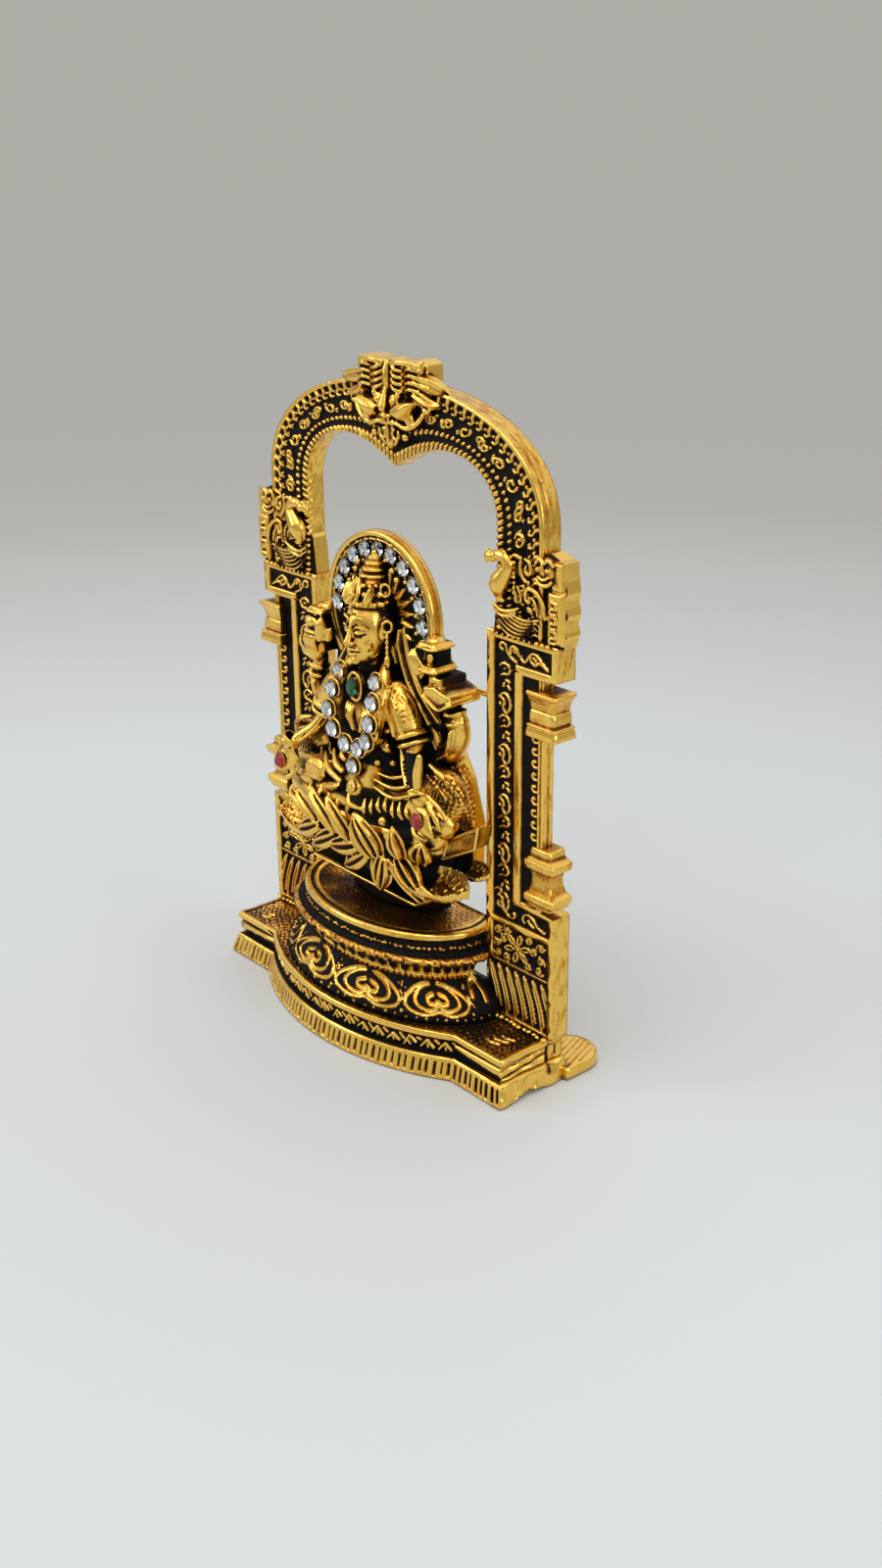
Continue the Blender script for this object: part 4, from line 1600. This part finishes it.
torsoLook = {
    "backing": [  # right half of the slab behind her: across and up
        (8, 1.3), (16.2, 8.5), (16.5, 14.5), (14.6, 20.5), (12.4, 24), (12.2, 28), (11.4, 33),
        (9.4, 36.4), (8.2, 38.6),
    ],
    "rods": [  # radii, sides and places
        ([0.6, 0.66, 0.42], 10, (14.2, -8.7, 21.6), (14.5, -8.9, 23.6), (14.9, -8.9, 25.8)),
        (0.24, 8, (10.6, -4.8, 31.8), (13.6, -4.9, 30.7), (15.5, -4.8, 31.6), (15.6, -1, 31.9)),
    ],
    "sideRods": [  # on both sides
        (0.22, 8, (9.9, -4.9, 38.2), (13, -4.9, 38.25), (13.1, -1.5, 38.3)),
        (0.22, 8, (9.6, -5.2, 35.45), (13.3, -5.2, 35.45), (13.4, -1.4, 35.5)),
        ([0.2, 0.3, 0.2], 8, (4, -6.9, 20.1), (6.4, -6.6, 20), (8.4, -5.2, 20.5)),
        ([0.22, 0.34, 0.22], 8, (4, -7.5, 19.3), (7.4, -7.2, 19), (9.7, -5.7, 19.6)),
        ([0.22, 0.36, 0.22], 8, (4.6, -8.1, 18.6), (8.4, -8, 18.1), (10.6, -6.7, 18.8)),
        ([0.4, 0.72, 0.6, 0.35], 10, (3.4, -5.9, 28.2), (5.2, -6, 28.6), (6.4, -6.2, 27.4),
         (6.6, -6.2, 25.8)),
        ([1.5, 2.05, 1.8], 20, (5.3, -4.2, 31), (7, -4.6, 28.9), (8.5, -5, 26.7)),
        ([1.5, 1.4], 18, (8.5, -5, 26.7), (9.2, -5, 25)),
        ([1.15, 0.9, 0.75, 0.7], 14, (8.9, -5, 24.8), (10.3, -6.2, 22.6), (12.4, -7.6, 20.8),
         (13.4, -8.2, 19.6)),
        (0.22, 8, (8.2, -6.3, 24.8), (9.4, -7.2, 22.6), (11.4, -8.3, 20.6)),
        ([1, 1, 1], 14, (7.6, -2.6, 29.6), (9.6, -1.8, 26), (11, -1.6, 23.6)),
        ([1.2, 1.45, 1.4, 1.1], 18, (10.6, -1.7, 22.9), (13, -1.7, 24.2), (14.6, -1.9, 26.8),
         (14.7, -2.2, 29.4)),
        (0.24, 8, (11.4, -3.2, 22.9), (13.4, -3.3, 24.6), (14.3, -3.4, 27.4)),
        ([1.05, 1.1], 14, (14, -2.3, 29.4), (13.4, -2.4, 31.4)),
        ([0.3, 0.5, 0.4, 0.36, 0.25], 10, (12.6, -5.3, 23.2), (15, -5.4, 22.3), (16.8, -4.6, 20.2),
         (17.6, -3.4, 17.8), (17.5, -2.6, 15.4)),
        ([0.2, 0.32, 0.2], 8, (12.4, -5.6, 21.8), (14.6, -5.9, 21), (16, -5.2, 19)),
        ([0.3, 0.42, 0.25], 8, (15.2, -7.9, 19.4), (16.8, -8.1, 18), (17.6, -7.9, 16.4)),
        ([0.26, 0.36, 0.2], 8, (14.8, -7.5, 20.2), (17, -7.3, 18.8), (18.2, -7, 17)),
        ([0.3, 0.42, 0.25], 8, (12.4, -8, 16.2), (13.6, -8.7, 14.9), (15.4, -8.6, 14.6)),
    ],
    "sideLumps": [  # on both sides
        (2.7, -5.7, 26.6, (1.9, 1.5, 1.9)),
        (4.9, -5.8, 26.2, (0.85, 0.75, 0.75)),
        (4.2, -6, 24.9, (0.75, 0.7, 0.7)),
        (4.9, -5.9, 23.6, (0.85, 0.75, 0.8)),
        (13.9, -7.9, 19.4, (1.25, 0.9, 1.2)),
    ],
}


def torsoParts():
    look = torsoLook
    half = look["backing"]
    parts = [
        ovalBody([(0, -4.4, 14, 7.2, 3.4), (0, -4.2, 17, 6.4, 3.1), (0, -4.1, 19.6, 5.6, 2.9),
            (0, -4.1, 22, 4.9, 2.7),
                  (0, -4.1, 26.5, 5.2, 2.7), (0, -3.9, 29.6, 6, 2.6), (0, -3.8, 31.4, 5, 2.2)]),
        slab([(x, seatZ + z) for x, z in half + [(-x, z) for x, z in half[::-1]]], -1.3, 1.15, 0.3),
        slab([(10.6, seatZ + 31.6), (13.6, seatZ + 30.4), (15.6, seatZ + 31.3), (15.4, seatZ + 32.6),
            (12.6, seatZ + 33.5), (10.5, seatZ + 33)],
             -4.7, 1, 0.3),
    ]
    parts += rodsFrom(look["rods"], seat)
    leftHand = [
        lump(seat(13, -3.9, 32.4), (1.6, 1, 1.5)),
        rod([seat(14.4, -3.9, 31.8), seat(15, -4.5, 33), seat(14.6, -4.9, 34.2)], [0.4, 0.42, 0.3]),
        lump(seat(12, -4.9, 36.9), (1.3, 0.8, 0.8)),
    ]
    for i in range(4):
        x = 11.7 + 0.68 * i
        finger = [seat(x, -4.5, 32.9), seat(x - 0.1, -5, 34.1), seat(x - 0.5, -4.8, 35.3)]
        leftHand.append(rod(finger, [0.34, 0.36, 0.26], sides=8))
    parts += [mirror(own) for own in leftHand]
    right = [
        lump(seat(3.4, -6.35, 21.2), 0.56, 0, 12, 8),
        lump(seat(5.3, -5.3, 21.4), 0.56, 0, 12, 8),
        *bangles(seat(8.7, -5, 26.2), seat(9.3, -5, 24.8), 1.88, 2, 0.36, 1.1),
        *bangles(seat(14.4, -2.2, 28.6), seat(14, -2.3, 30.3), 1.3, 2, 0.32, 1.3),
        block(11, 13.7, -4.2, 0.3, seatZ + 32.4, seatZ + 34.6, 0.4),
        lump(seat(13.6, -3.6, 18.6), (3.9, 2.2, 3.9), 0, 26, 18),
        *bangles(seat(13.3, -8, 20.6), seat(13.9, -8.3, 19.5), 1.2, 2, 0.24, 0.62),
        leaf(seat(12.2, -8.2, 19), seat(17, -8.6, 15.3), 4, 0.55, (0.1, -1, 0), 0.1, blunt=0.8),
    ]
    right += rodsFrom(look["sideRods"], seat) + lumpsFrom(look["sideLumps"], seat)
    right += heldLotus()
    return parts + garlandParts() + bothSides(right)


def torsoGround(places, normals):
    side = onRight(places)
    x, y, z = side[:, 0], side[:, 1], side[:, 2] - seatZ
    beads = np.maximum(*(nearLine(side, [spot] * 2, 0.6) for spot in ((3.4, -6.6, 21.2), (5.3, -5.6, 21.4))))
    waist = between(z, 20.6, 24.4, 0.4) * step(6.6 - x, 0.4) * step(y + 7.2, 0.3) * (1 - beads)
    flank = between(z, 22.5, 27.2, 0.5) * between(x, 4.9, 8, 0.3) * step(y + 5.9, 0.4)
    core = between(z, 36.15, 38.1, 0.15) * between(x, 10.2, 15.5, 0.3) * step(y + 4.3, 0.3)
    core = np.maximum(core, between(z, 33.4, 35.3, 0.15) * between(x, 10.2, 15.5, 0.3) * step(y + 4, 0.3)
        * 0.7)
    chest = between(z, 24, 33, 0.5) * step(3.0 - x, 0.3) * step(y + 6.6, 0.35)
    behind = (step(x - 6, 0.4) * step(y + 1.7, 0.3) * step(1.4 - y, 0.2) * step(24 - z, 0.5)
        * (normals[:, 1] < -0.6))
    edge = nearLine(side, [(8.2, -6.3, 24.8), (9.4, -7.2, 22.6), (11.4, -8.3, 20.6)], 0.34)
    stick = nearLine(side, [(14.2, -8.7, 21.6), (14.9, -8.9, 25.8)], 0.9)
    forearm = nearLine(side, [(9.2, -5, 24.2), (10.3, -6.2, 22.4), (12.6, -7.7, 20.6)], 1.6)
    forearm = forearm * step(24.3 - z, 0.2) * (1 - edge) * (1 - stick) * (places[:, 0] > 0)
    bumps = nearLine(side, [(4.9, -6, 26.4), (4.2, -6.1, 24.9), (4.9, -6.1, 23.4)], 0.8)
    body = np.maximum.reduce([waist, flank, chest]) * (1 - bumps)
    shade = np.maximum.reduce([body, core, behind * 0.8, forearm]) * 0.97
    upperArm = nearLine(side, [(4.6, -6, 30.6), (5.9, -6.4, 28.6), (7.6, -6.6, 26.8)], 1.5)
    return np.where(shade > 0.1, shade * step(0.6 - y, 0.3), -0.6 * upperArm)


lapLook = {
    "rods": [  # radii, sides and places
        ([2, 2, 2.05, 1.7], 22, (-10.5, -6, 14.6), (-4, -6.8, 15), (4, -7.1, 15.5), (11.5, -6.4, 16.2)),
        (0.3, 8, (2, -10.4, 18), (3.6, -10.6, 18.6), (3.2, -10.4, 19.4)),
        ([0.25, 0.55, 0.4], 10, (-7.4, -6.8, 19.8), (-5, -8.1, 18.5), (-1.6, -8.9, 17.9)),
        ([0.25, 0.55, 0.4], 10, (-5.4, -6.8, 20.8), (-3.6, -7.9, 19.6), (-1.7, -8.4, 19.1)),
        ([0.25, 0.55, 0.4], 10, (-3.4, -6.8, 21.5), (-2.6, -7.5, 20.9), (-1.8, -7.8, 20.6)),
        ([0.3, 0.4, 0.25], 8, (1.6, -9.9, 17.2), (2.4, -10.4, 16.2), (4.4, -10.2, 16)),
    ],
    "lumps": [  # place and size
        (2.6, -9.6, 18.4, (1.35, 1, 1.25)),
        (8, -9.4, 15.2, 0.66),
    ],
    "sideRods": [  # on both sides
        ([2.6, 2.8, 2.2], 22, (4, -5, 15.2), (9, -5.2, 15.9), (14.6, -4.8, 15.6)),
        ([1.7, 1.8, 1.3], 18, (14.2, -5.8, 13.6), (8, -7.4, 13), (0, -8.2, 12.6)),
    ],
}


def legParts():
    look = lapLook
    rng = np.random.default_rng(12)
    parts = rodsFrom(look["rods"], seat) + lumpsFrom(look["lumps"], seat)
    for i in range(7):
        x = 4.3 + i * 1.3
        z = 17.4 + 0.2 * i + rng.uniform(-0.25, 0.25)
        fall = rng.uniform(1.5, 2.6)
        parts.append(rod([seat(x - 0.3, -9.0 + 0.1 * i, z), seat(x + 0.3, -9.8 + 0.12 * i, z - fall * 0.5),
            seat(x + rng.uniform(0.2, 0.7), -9.7 + 0.14 * i, z - fall)], [0.2, 0.36, 0.2], sides=8))
    corners = [(-9.9, 17), (-8.9, 16), (-6.9, 15.9), (-5.7, 17), (-5.6, 18.4), (-6.9, 19.3), (-8.9, 19.2),
        (-9.9, 18.3)]
    parts.append(slab([(x, seatZ + z) for x, z in corners], -8.9, -6, 0.6))
    parts.append(leaf(seat(-5, -8.6, 16), seat(-1.2, -9.4, 17.4), 1.5, 0.5, blunt=0.8))
    parts.append(leaf(seat(-8.5, -7.6, 15.6), seat(-12.6, -7.4, 15.2), 2.2, 0.6, blunt=0.8))
    for i in range(5):
        x = -9.0 + i * 2.1
        parts.append(rod([seat(x, -8, 15.6), seat(x + 0.6, -9, 14.6), seat(x + 0.7, -9.1, 13.2)],
            [0.22, 0.34, 0.24], sides=8))
    return parts + bothSides(rodsFrom(look["sideRods"], seat))


# A half-round ring about the seat's back: across and forward reach, at an angle from the middle
def around(angle, wide, reach, z, back=1.1):
    return seat(wide * sin(angle), back - (reach + back) * cos(angle), z)


# Lotus petals as root, tip, width and ribs: the upright row, then the hanging row
uprightPetals = [
    ((6.2, -9.2, 9.6), (3.6, -10.4, 15.6), 5.6, 4),
    ((10.8, -8.7, 10.6), (10.4, -9.6, 15.6), 3.3, 2),
    ((13.6, -7.8, 10.8), (15.2, -8.8, 14.8), 3.9, 3),
    ((1.4, -9.4, 10.2), (-2.6, -10, 16), 3.4, 2),
    ((-2.4, -9, 10), (-7.4, -9, 15.6), 3.2, 2),
    ((-8, -7.8, 9.6), (-12.6, -7.4, 13.6), 3.4, 2),
    ((-11.6, -6.4, 9.2), (-16.4, -5.8, 12.4), 3, 2),
]
hangingPetals = [
    ((3.2, -9.2, 10.4), (-3.8, -8.4, 7.6), 3.6, 3),
    ((4.4, -9.2, 9.4), (-0.6, -8.2, 5.6), 3.6, 3),
    ((7.6, -9, 10), (6, -7.6, 4.4), 4.6, 4),
    ((9.8, -8.4, 10.6), (13.6, -7.2, 5.8), 4, 3),
    ((-2.4, -8.8, 9.8), (-8.6, -7.6, 6), 3.6, 3),
    ((-7.4, -8, 9.6), (-13.6, -6.4, 6.2), 3.6, 3),
]


def lotusParts():
    shells = []
    for wide, reach, z in [(9.4, 4.4, 0.02), (9.4, 4.4, 3), (10.3, 5.3, 3.3), (11.6, 6, 5), (13, 6.7, 7.2),
            (13.6, 7, 9.8), (13.2, 6.8, 11.6), (12.2, 6.2, 12.2)]:
        shells.append([around(a, wide, reach, z) for a in np.linspace(-pi / 2, pi / 2, 40)])
    parts = [skin(shells, wrap=True)]
    front = [(-11.8, 0.6), (-11.6, -3), (-11.2, -6.4), (11, -6.7), (11.3, -3), (11.8, 0.6)]
    parts.append(skin([[seat(x, y, z) for x, y in front] for z in (3, 3.65)], wrap=True))
    parts += rodsFrom([(0.25, 8, (-11.2, -6.55, 3.5), (0, -6.7, 3.5), (11.1, -6.8, 3.5)),
        (0.25, 8, (11, -6.8, 3.5), (11.4, -3, 3.6), (12.4, -2, 4.2))], seat)
    rows = [(uprightPetals, 0.3, 14, 0.15, 0.75, 0.75), (hangingPetals, 0.4, 20, 0.45, 0.8, 0.9)]
    for petals, turn, over, lift, bend, blunt in rows:
        for root, tip, width, ribs in petals:
            root, tip = seat(*root), seat(*tip)
            facing = unit([turn * (root[0] + tip[0]) / over, -1, lift])
            parts.append(leaf(root, tip, width, 0.5, facing, bend, ribs=ribs, ribDepth=0.42, blunt=blunt))
    for i in range(5):
        strand = [seat(7.6 + 1.0 * i, -8.9 + 0.2 * i, 9.6 - 0.25 * i),
            seat(10.6 + 1.1 * i, -8.6 + 0.3 * i, 6.9 - 0.1 * i),
            seat(12.6 + 1.35 * i, -7.4 + 0.3 * i, 4.6 + 0.5 * i)]
        parts.append(rod(strand, [0.25, 0.4, 0.22], sides=8))
    right = [boatPetal(0, 0, 0, 1), boatPetal(1.2, 3.2, 1.6, 0.62)]
    corners = [(13.9, 10.3), (14.9, 13.2), (20.6, 16.6), (20, 13.6)]
    right.append(slab([(x, seatZ + z) for x, z in corners], -4.2, -1.6, 0.25))
    for (ax, az), (bx, bz) in zip(corners, corners[1:] + corners[:1]):
        right.append(rod([seat(ax, -4.3, az), seat(bx, -4.3, bz)], 0.27, sides=8))
    return parts + bothSides(right)


# Side petal shaped like a boat: a raised rim round a grainy hollow
def boatPetal(outward, back, up, size):
    t = np.linspace(0, 1, 46)[:, None]
    v = np.linspace(-1, 1, 31)[None, :]
    half = 2.5 * np.sin(np.pi * np.clip(0.12 + 0.88 * t, 0, 1)) ** 0.7 + 0.1
    x = 11.0 + 9.4 * t + 0 * v
    y = -5.2 - 0.6 * t + v * half * 0.7
    z = 7.4 + 0.9 * t ** 2 + 0.5 * v * half + 1.1 * np.abs(v) ** 4 - 0.6 + 0.8 * t ** 4
    z = z + 0.22 * rippleNoise(x, v * half, 1.2, 61) * (1 - v ** 4)
    top = np.stack([x, y, z], -1)
    middle = np.array([20.4, -5.8, 8.2])
    top = middle + (top - middle) * size + [outward - 1.6 * (1 - size), back, up + seatZ]
    under = top[:, ::-1] + [0, 0.2, -1.0 * size]
    return skin(np.concatenate([top, under], 1), wrap=True)


# Where the boat petals' hollows are, for their punched grain.
def boatShare(places, normals):
    side = np.abs(places[:, 0])
    y, z = places[:, 1], places[:, 2] - seatZ
    first = between(side, 13.4, 19.6, 0.4) * between(z, 5, 9.2, 0.3) * between(y, -7.6, -4, 0.3)
    second = between(side, 16.6, 21.4, 0.4) * between(z, 7, 10.6, 0.3) * between(y, -4, -0.6, 0.3)
    return np.maximum(first, second) * np.clip(normals[:, 2] * 3 - 0.4, 0, 1)


# The thigh's side and the sleeve are punched all over.
def torsoShare(places, normals):
    side = onRight(places)
    z = side[:, 2] - seatZ
    thigh = (nearLine(side, [(13.4, -3.6, 20.6), (14.2, -3.8, 16.6)], 3.9) * step(22.4 - z, 0.4)
        * step(side[:, 0] - 12.2, 0.3))
    thigh = thigh * step(side[:, 1] + 7.2, 0.3)
    sleeve = nearLine(side, [(5.2, -5.2, 31), (7.4, -5.6, 30), (8.4, -5.6, 28.4)], 1) * 0.9
    return np.maximum(thigh, sleeve)


def legGround(places, normals):
    x, y, z = places[:, 0], places[:, 1], places[:, 2] - seatZ
    surface = -9.3 + 0.09 * np.abs(x - 3.5)
    return (between(x, -4.4, 12.4, 0.4) * between(z, 13.2, 17.9, 0.3) * step(y - surface, 0.14)
        * step(-4.6 - y, 0.3) * 0.95)


def legShare(places, normals):
    return nearLine(places, [(-8.4, -9, 17.6), (-7.2, -9, 17.8)], 1.3) * 0.5


def boatGround(places, normals):
    side = np.abs(places[:, 0])
    y, z = places[:, 1], places[:, 2] - seatZ
    stem = step(2.95 - z, 0.12) * step(10.6 - side, 0.3)
    under = step(9.6 - z, 0.5) * step(y + 6.2, 0.5) * step(12.6 - side, 0.5) * step(z - 3.75, 0.1) * 0.9
    plate = -1.0 * between(z, 3, 3.9, 0.1) * step(-6.3 - y, 0.15)
    bolster = (between(z, 10.2, 16.5, 0.2) * step(side - 14.6, 0.3) * (normals[:, 1] < -0.85)
        * step(y + 4.36, 0.08))
    gold = -1.0 * boatShare(places, normals) - 0.7 * bolster
    black = np.maximum(stem, under) * (gold > -0.1)
    return np.where(black > 0.1, black, np.minimum(plate, gold)) * 0.97


print("goddess")
gild(sheetPiece("haloPlate", [haloPlate()]), "goddess")
gild(weld("crownedHead", headParts(), 0.095, soften=2, reach=10, ground=headGround, rub=0.9), "goddess")
torso = weld("torsoAndArms", torsoParts(), 0.15, reach=8, ground=torsoGround, rub=1.0, keep=0.42,
    stippled=torsoShare)
gild(torso, "goddess", roughGilt)
skirt = weld("skirtAndLap", legParts(), 0.14, reach=8, ground=legGround, rub=1.0, keep=0.34,
    stippled=legShare)
gild(skirt, "goddess", roughGilt)
lotus = weld("lotusSeat", lotusParts(), 0.15, soften=2, reach=8, ground=boatGround, rub=1.0, keep=0.34,
    stippled=boatShare)
gild(lotus, "goddess", roughGilt)


# Stones: a cut crown over a foiled pavilion, one for each stone node

stoneLook = {
    "table": 0.56,  # share of the girdle's width
    "facets": 8,
    "clear": "f4f6f8",
    "green": "0b6b3a",
    "red": "d3222c",
    "foil": "f4f5f4",
}


def cutStone(name, glass, foil):
    low, high = nodeBox(name)
    look = stoneLook
    cx, cz = (low[0] + high[0]) / 2, (low[2] + high[2]) / 2
    size = 0.9 if glass == "green" else 1.06
    wide, tall = (high[0] - low[0]) / 2 * size, (high[2] - low[2]) / 2 * size
    count = look["facets"]
    yGirdle, yTable, yBack = high[1] - 0.32, low[1], high[1] + 0.25
    points = []
    for share, y, turned in ((look["table"], yTable, 0.5), (0.84, (yGirdle + yTable) / 2 + 0.08, 0),
            (1, yGirdle, 0.5), (0.98, yGirdle + 0.1, 0.5)):
        for i in range(count):
            a = (i + turned) * 2 * pi / count
            points.append((cx + wide * share * cos(a), y, cz + tall * share * sin(a)))
    tip, keel = len(points), len(points) + 1
    points += [(cx, yTable, cz), (cx, yBack, cz)]
    faces = []
    for i in range(count):
        j = (i + 1) % count
        table, star, girdle, edge = ([k * count + i, k * count + j] for k in range(4))
        faces += [
            (tip, table[0], table[1]), (table[0], star[1], table[1]), (star[1], girdle[0], girdle[1]),
            (table[0], girdle[0], star[1]), (table[1], star[1], girdle[1]),
            (girdle[0], edge[0], edge[1], girdle[1]), (edge[0], keel, edge[1]),
        ]
    mesh = bpy.data.meshes.new(name + "Cut")
    mesh.from_pydata([tuple(np.array(p) * mm) for p in points], [], faces)
    mesh.validate()
    piece = addObject(name + "Cut", mesh)
    place(piece, [name], glass + "_stone", stoneGlass[glass], foil, flat=True)
    back = np.array([keel in face or len(face) == 4 for face in faces], np.int32)
    mesh.polygons.foreach_set("material_index", back)
    mesh.update()


print("stones")
stoneGlass = {kind: cutGlass(kind + "CutGlass", stoneLook[kind]) for kind in ("clear", "green", "red")}
silver = silverFoil("silveredFoil", stoneLook["foil"])
for node in sorted(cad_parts):
    if "stone" in node:
        kind = "green" if node.startswith("throat") else "red" if node.startswith("palm") else "clear"
        cutStone(node, kind, silver)


# Studio: a pale floor, soft light from above and both sides, and the camera at the photo's angle

studioLook = {
    "azimuth": 49.3,
    "elevation": 21.5,
    "roll": -0.46,
    "distance": 220,
    "aside": 5.7,
    "lift": -10.6,
    "aim": 45,
    "focal": 1685,  # pixels
    "pictureHeight": 1600,
    "sensor": 36,
    "softboxes": [  # name, place, what it points at, width and power
        ("overheadSoftbox", (60, -160, 420), (0, 0, 30), 300, 0.47),
        ("leftSoftbox", (-260, -260, 190), (0, 0, 40), 160, 0.27),
        ("rightSoftbox", (320, 40, 160), (0, 0, 40), 140, 0.18),
    ],
    "floor": "cfd3d4",
    "farFloor": "b6b4ae",
    "wall": "aeaca6",
    "ceiling": "efefef",
    "skyStrength": 1,
}


def addCamera():
    look = studioLook
    azimuth, elevation, roll = (radians(look[key]) for key in ("azimuth", "elevation", "roll"))
    back = Vector((sin(azimuth) * cos(elevation), -cos(azimuth) * cos(elevation), sin(elevation)))
    right = Vector((cos(azimuth), sin(azimuth), 0))
    up = back.cross(right)
    turnedRight = cos(roll) * right + sin(roll) * up
    turnedUp = cos(roll) * up - sin(roll) * right
    spot = back * look["distance"] + turnedRight * look["aside"] + turnedUp * look["lift"]
    spot += Vector((0, 0, look["aim"]))
    matrix = Matrix((turnedRight, turnedUp, back)).transposed().to_4x4()
    matrix.translation = spot * mm
    camera = addObject("studioCamera", bpy.data.cameras.new("studioCamera"))
    camera.matrix_world = matrix
    camera.data.sensor_fit = "VERTICAL"
    camera.data.sensor_height = look["sensor"]
    camera.data.lens = look["focal"] / look["pictureHeight"] * look["sensor"]
    camera.data.clip_start = 0.005
    bpy.context.scene.camera = camera


def addSoftbox(name, spot, aim, wide, power):
    light = addObject(name, bpy.data.lights.new(name, "AREA"))
    light.data.shape = "SQUARE"
    light.data.size = wide * mm
    light.data.energy = power
    direction = Vector(aim) - Vector(spot)
    light.rotation_euler = direction.to_track_quat("-Z", "Y").to_euler()
    light.location = Vector(spot) * mm


# Matt paper floor that goes a little grey far from the idol.
def addFloor():
    look = studioLook
    material, tree, shader = newMaterial("mattPaper")
    spot = addNode(tree, "TexCoord").outputs["Object"]
    split = addNode(tree, "VectorMath", {0: spot}, operation="LENGTH")
    ramp = addNode(tree, "ValToRGB", {"Fac": split.outputs["Value"]})
    setRamp(ramp, [(0.12, linear(look["floor"])), (0.34, linear(look["farFloor"]))])
    tree.links.new(ramp.outputs[0], shader.inputs["Base Color"])
    shader.inputs["Roughness"].default_value = 0.6
    reach = 3.0
    corners = [(-reach, -reach, 0), (reach, -reach, 0), (reach, reach, 0), (-reach, reach, 0)]
    mesh = bpy.data.meshes.new("paperFloor")
    mesh.from_pydata(corners, [], [(0, 1, 2, 3)])
    mesh.materials.append(material)
    addObject("paperFloor", mesh)


print("studio")
world = bpy.data.worlds.new("softRoom")
world.use_nodes = True
sky = world.node_tree
heading = addNode(sky, "TexCoord")
upward = addNode(sky, "SeparateXYZ", {"Vector": heading.outputs["Generated"]})
sweep = addNode(sky, "ValToRGB", {"Fac": upward.outputs["Z"]})
setRamp(sweep, [(0.1, linear(studioLook["wall"])), (0.55, linear(studioLook["ceiling"]))])
sky.links.new(sweep.outputs[0], sky.nodes["Background"].inputs["Color"])
sky.nodes["Background"].inputs["Strength"].default_value = studioLook["skyStrength"]
bpy.context.scene.world = world
bpy.context.scene.view_settings.view_transform = "Standard"
addFloor()
for softbox in studioLook["softboxes"]:
    addSoftbox(*softbox)
addCamera()

print(f"{sum(pieceSizes.values())} triangles in {len(pieceSizes)} pieces")
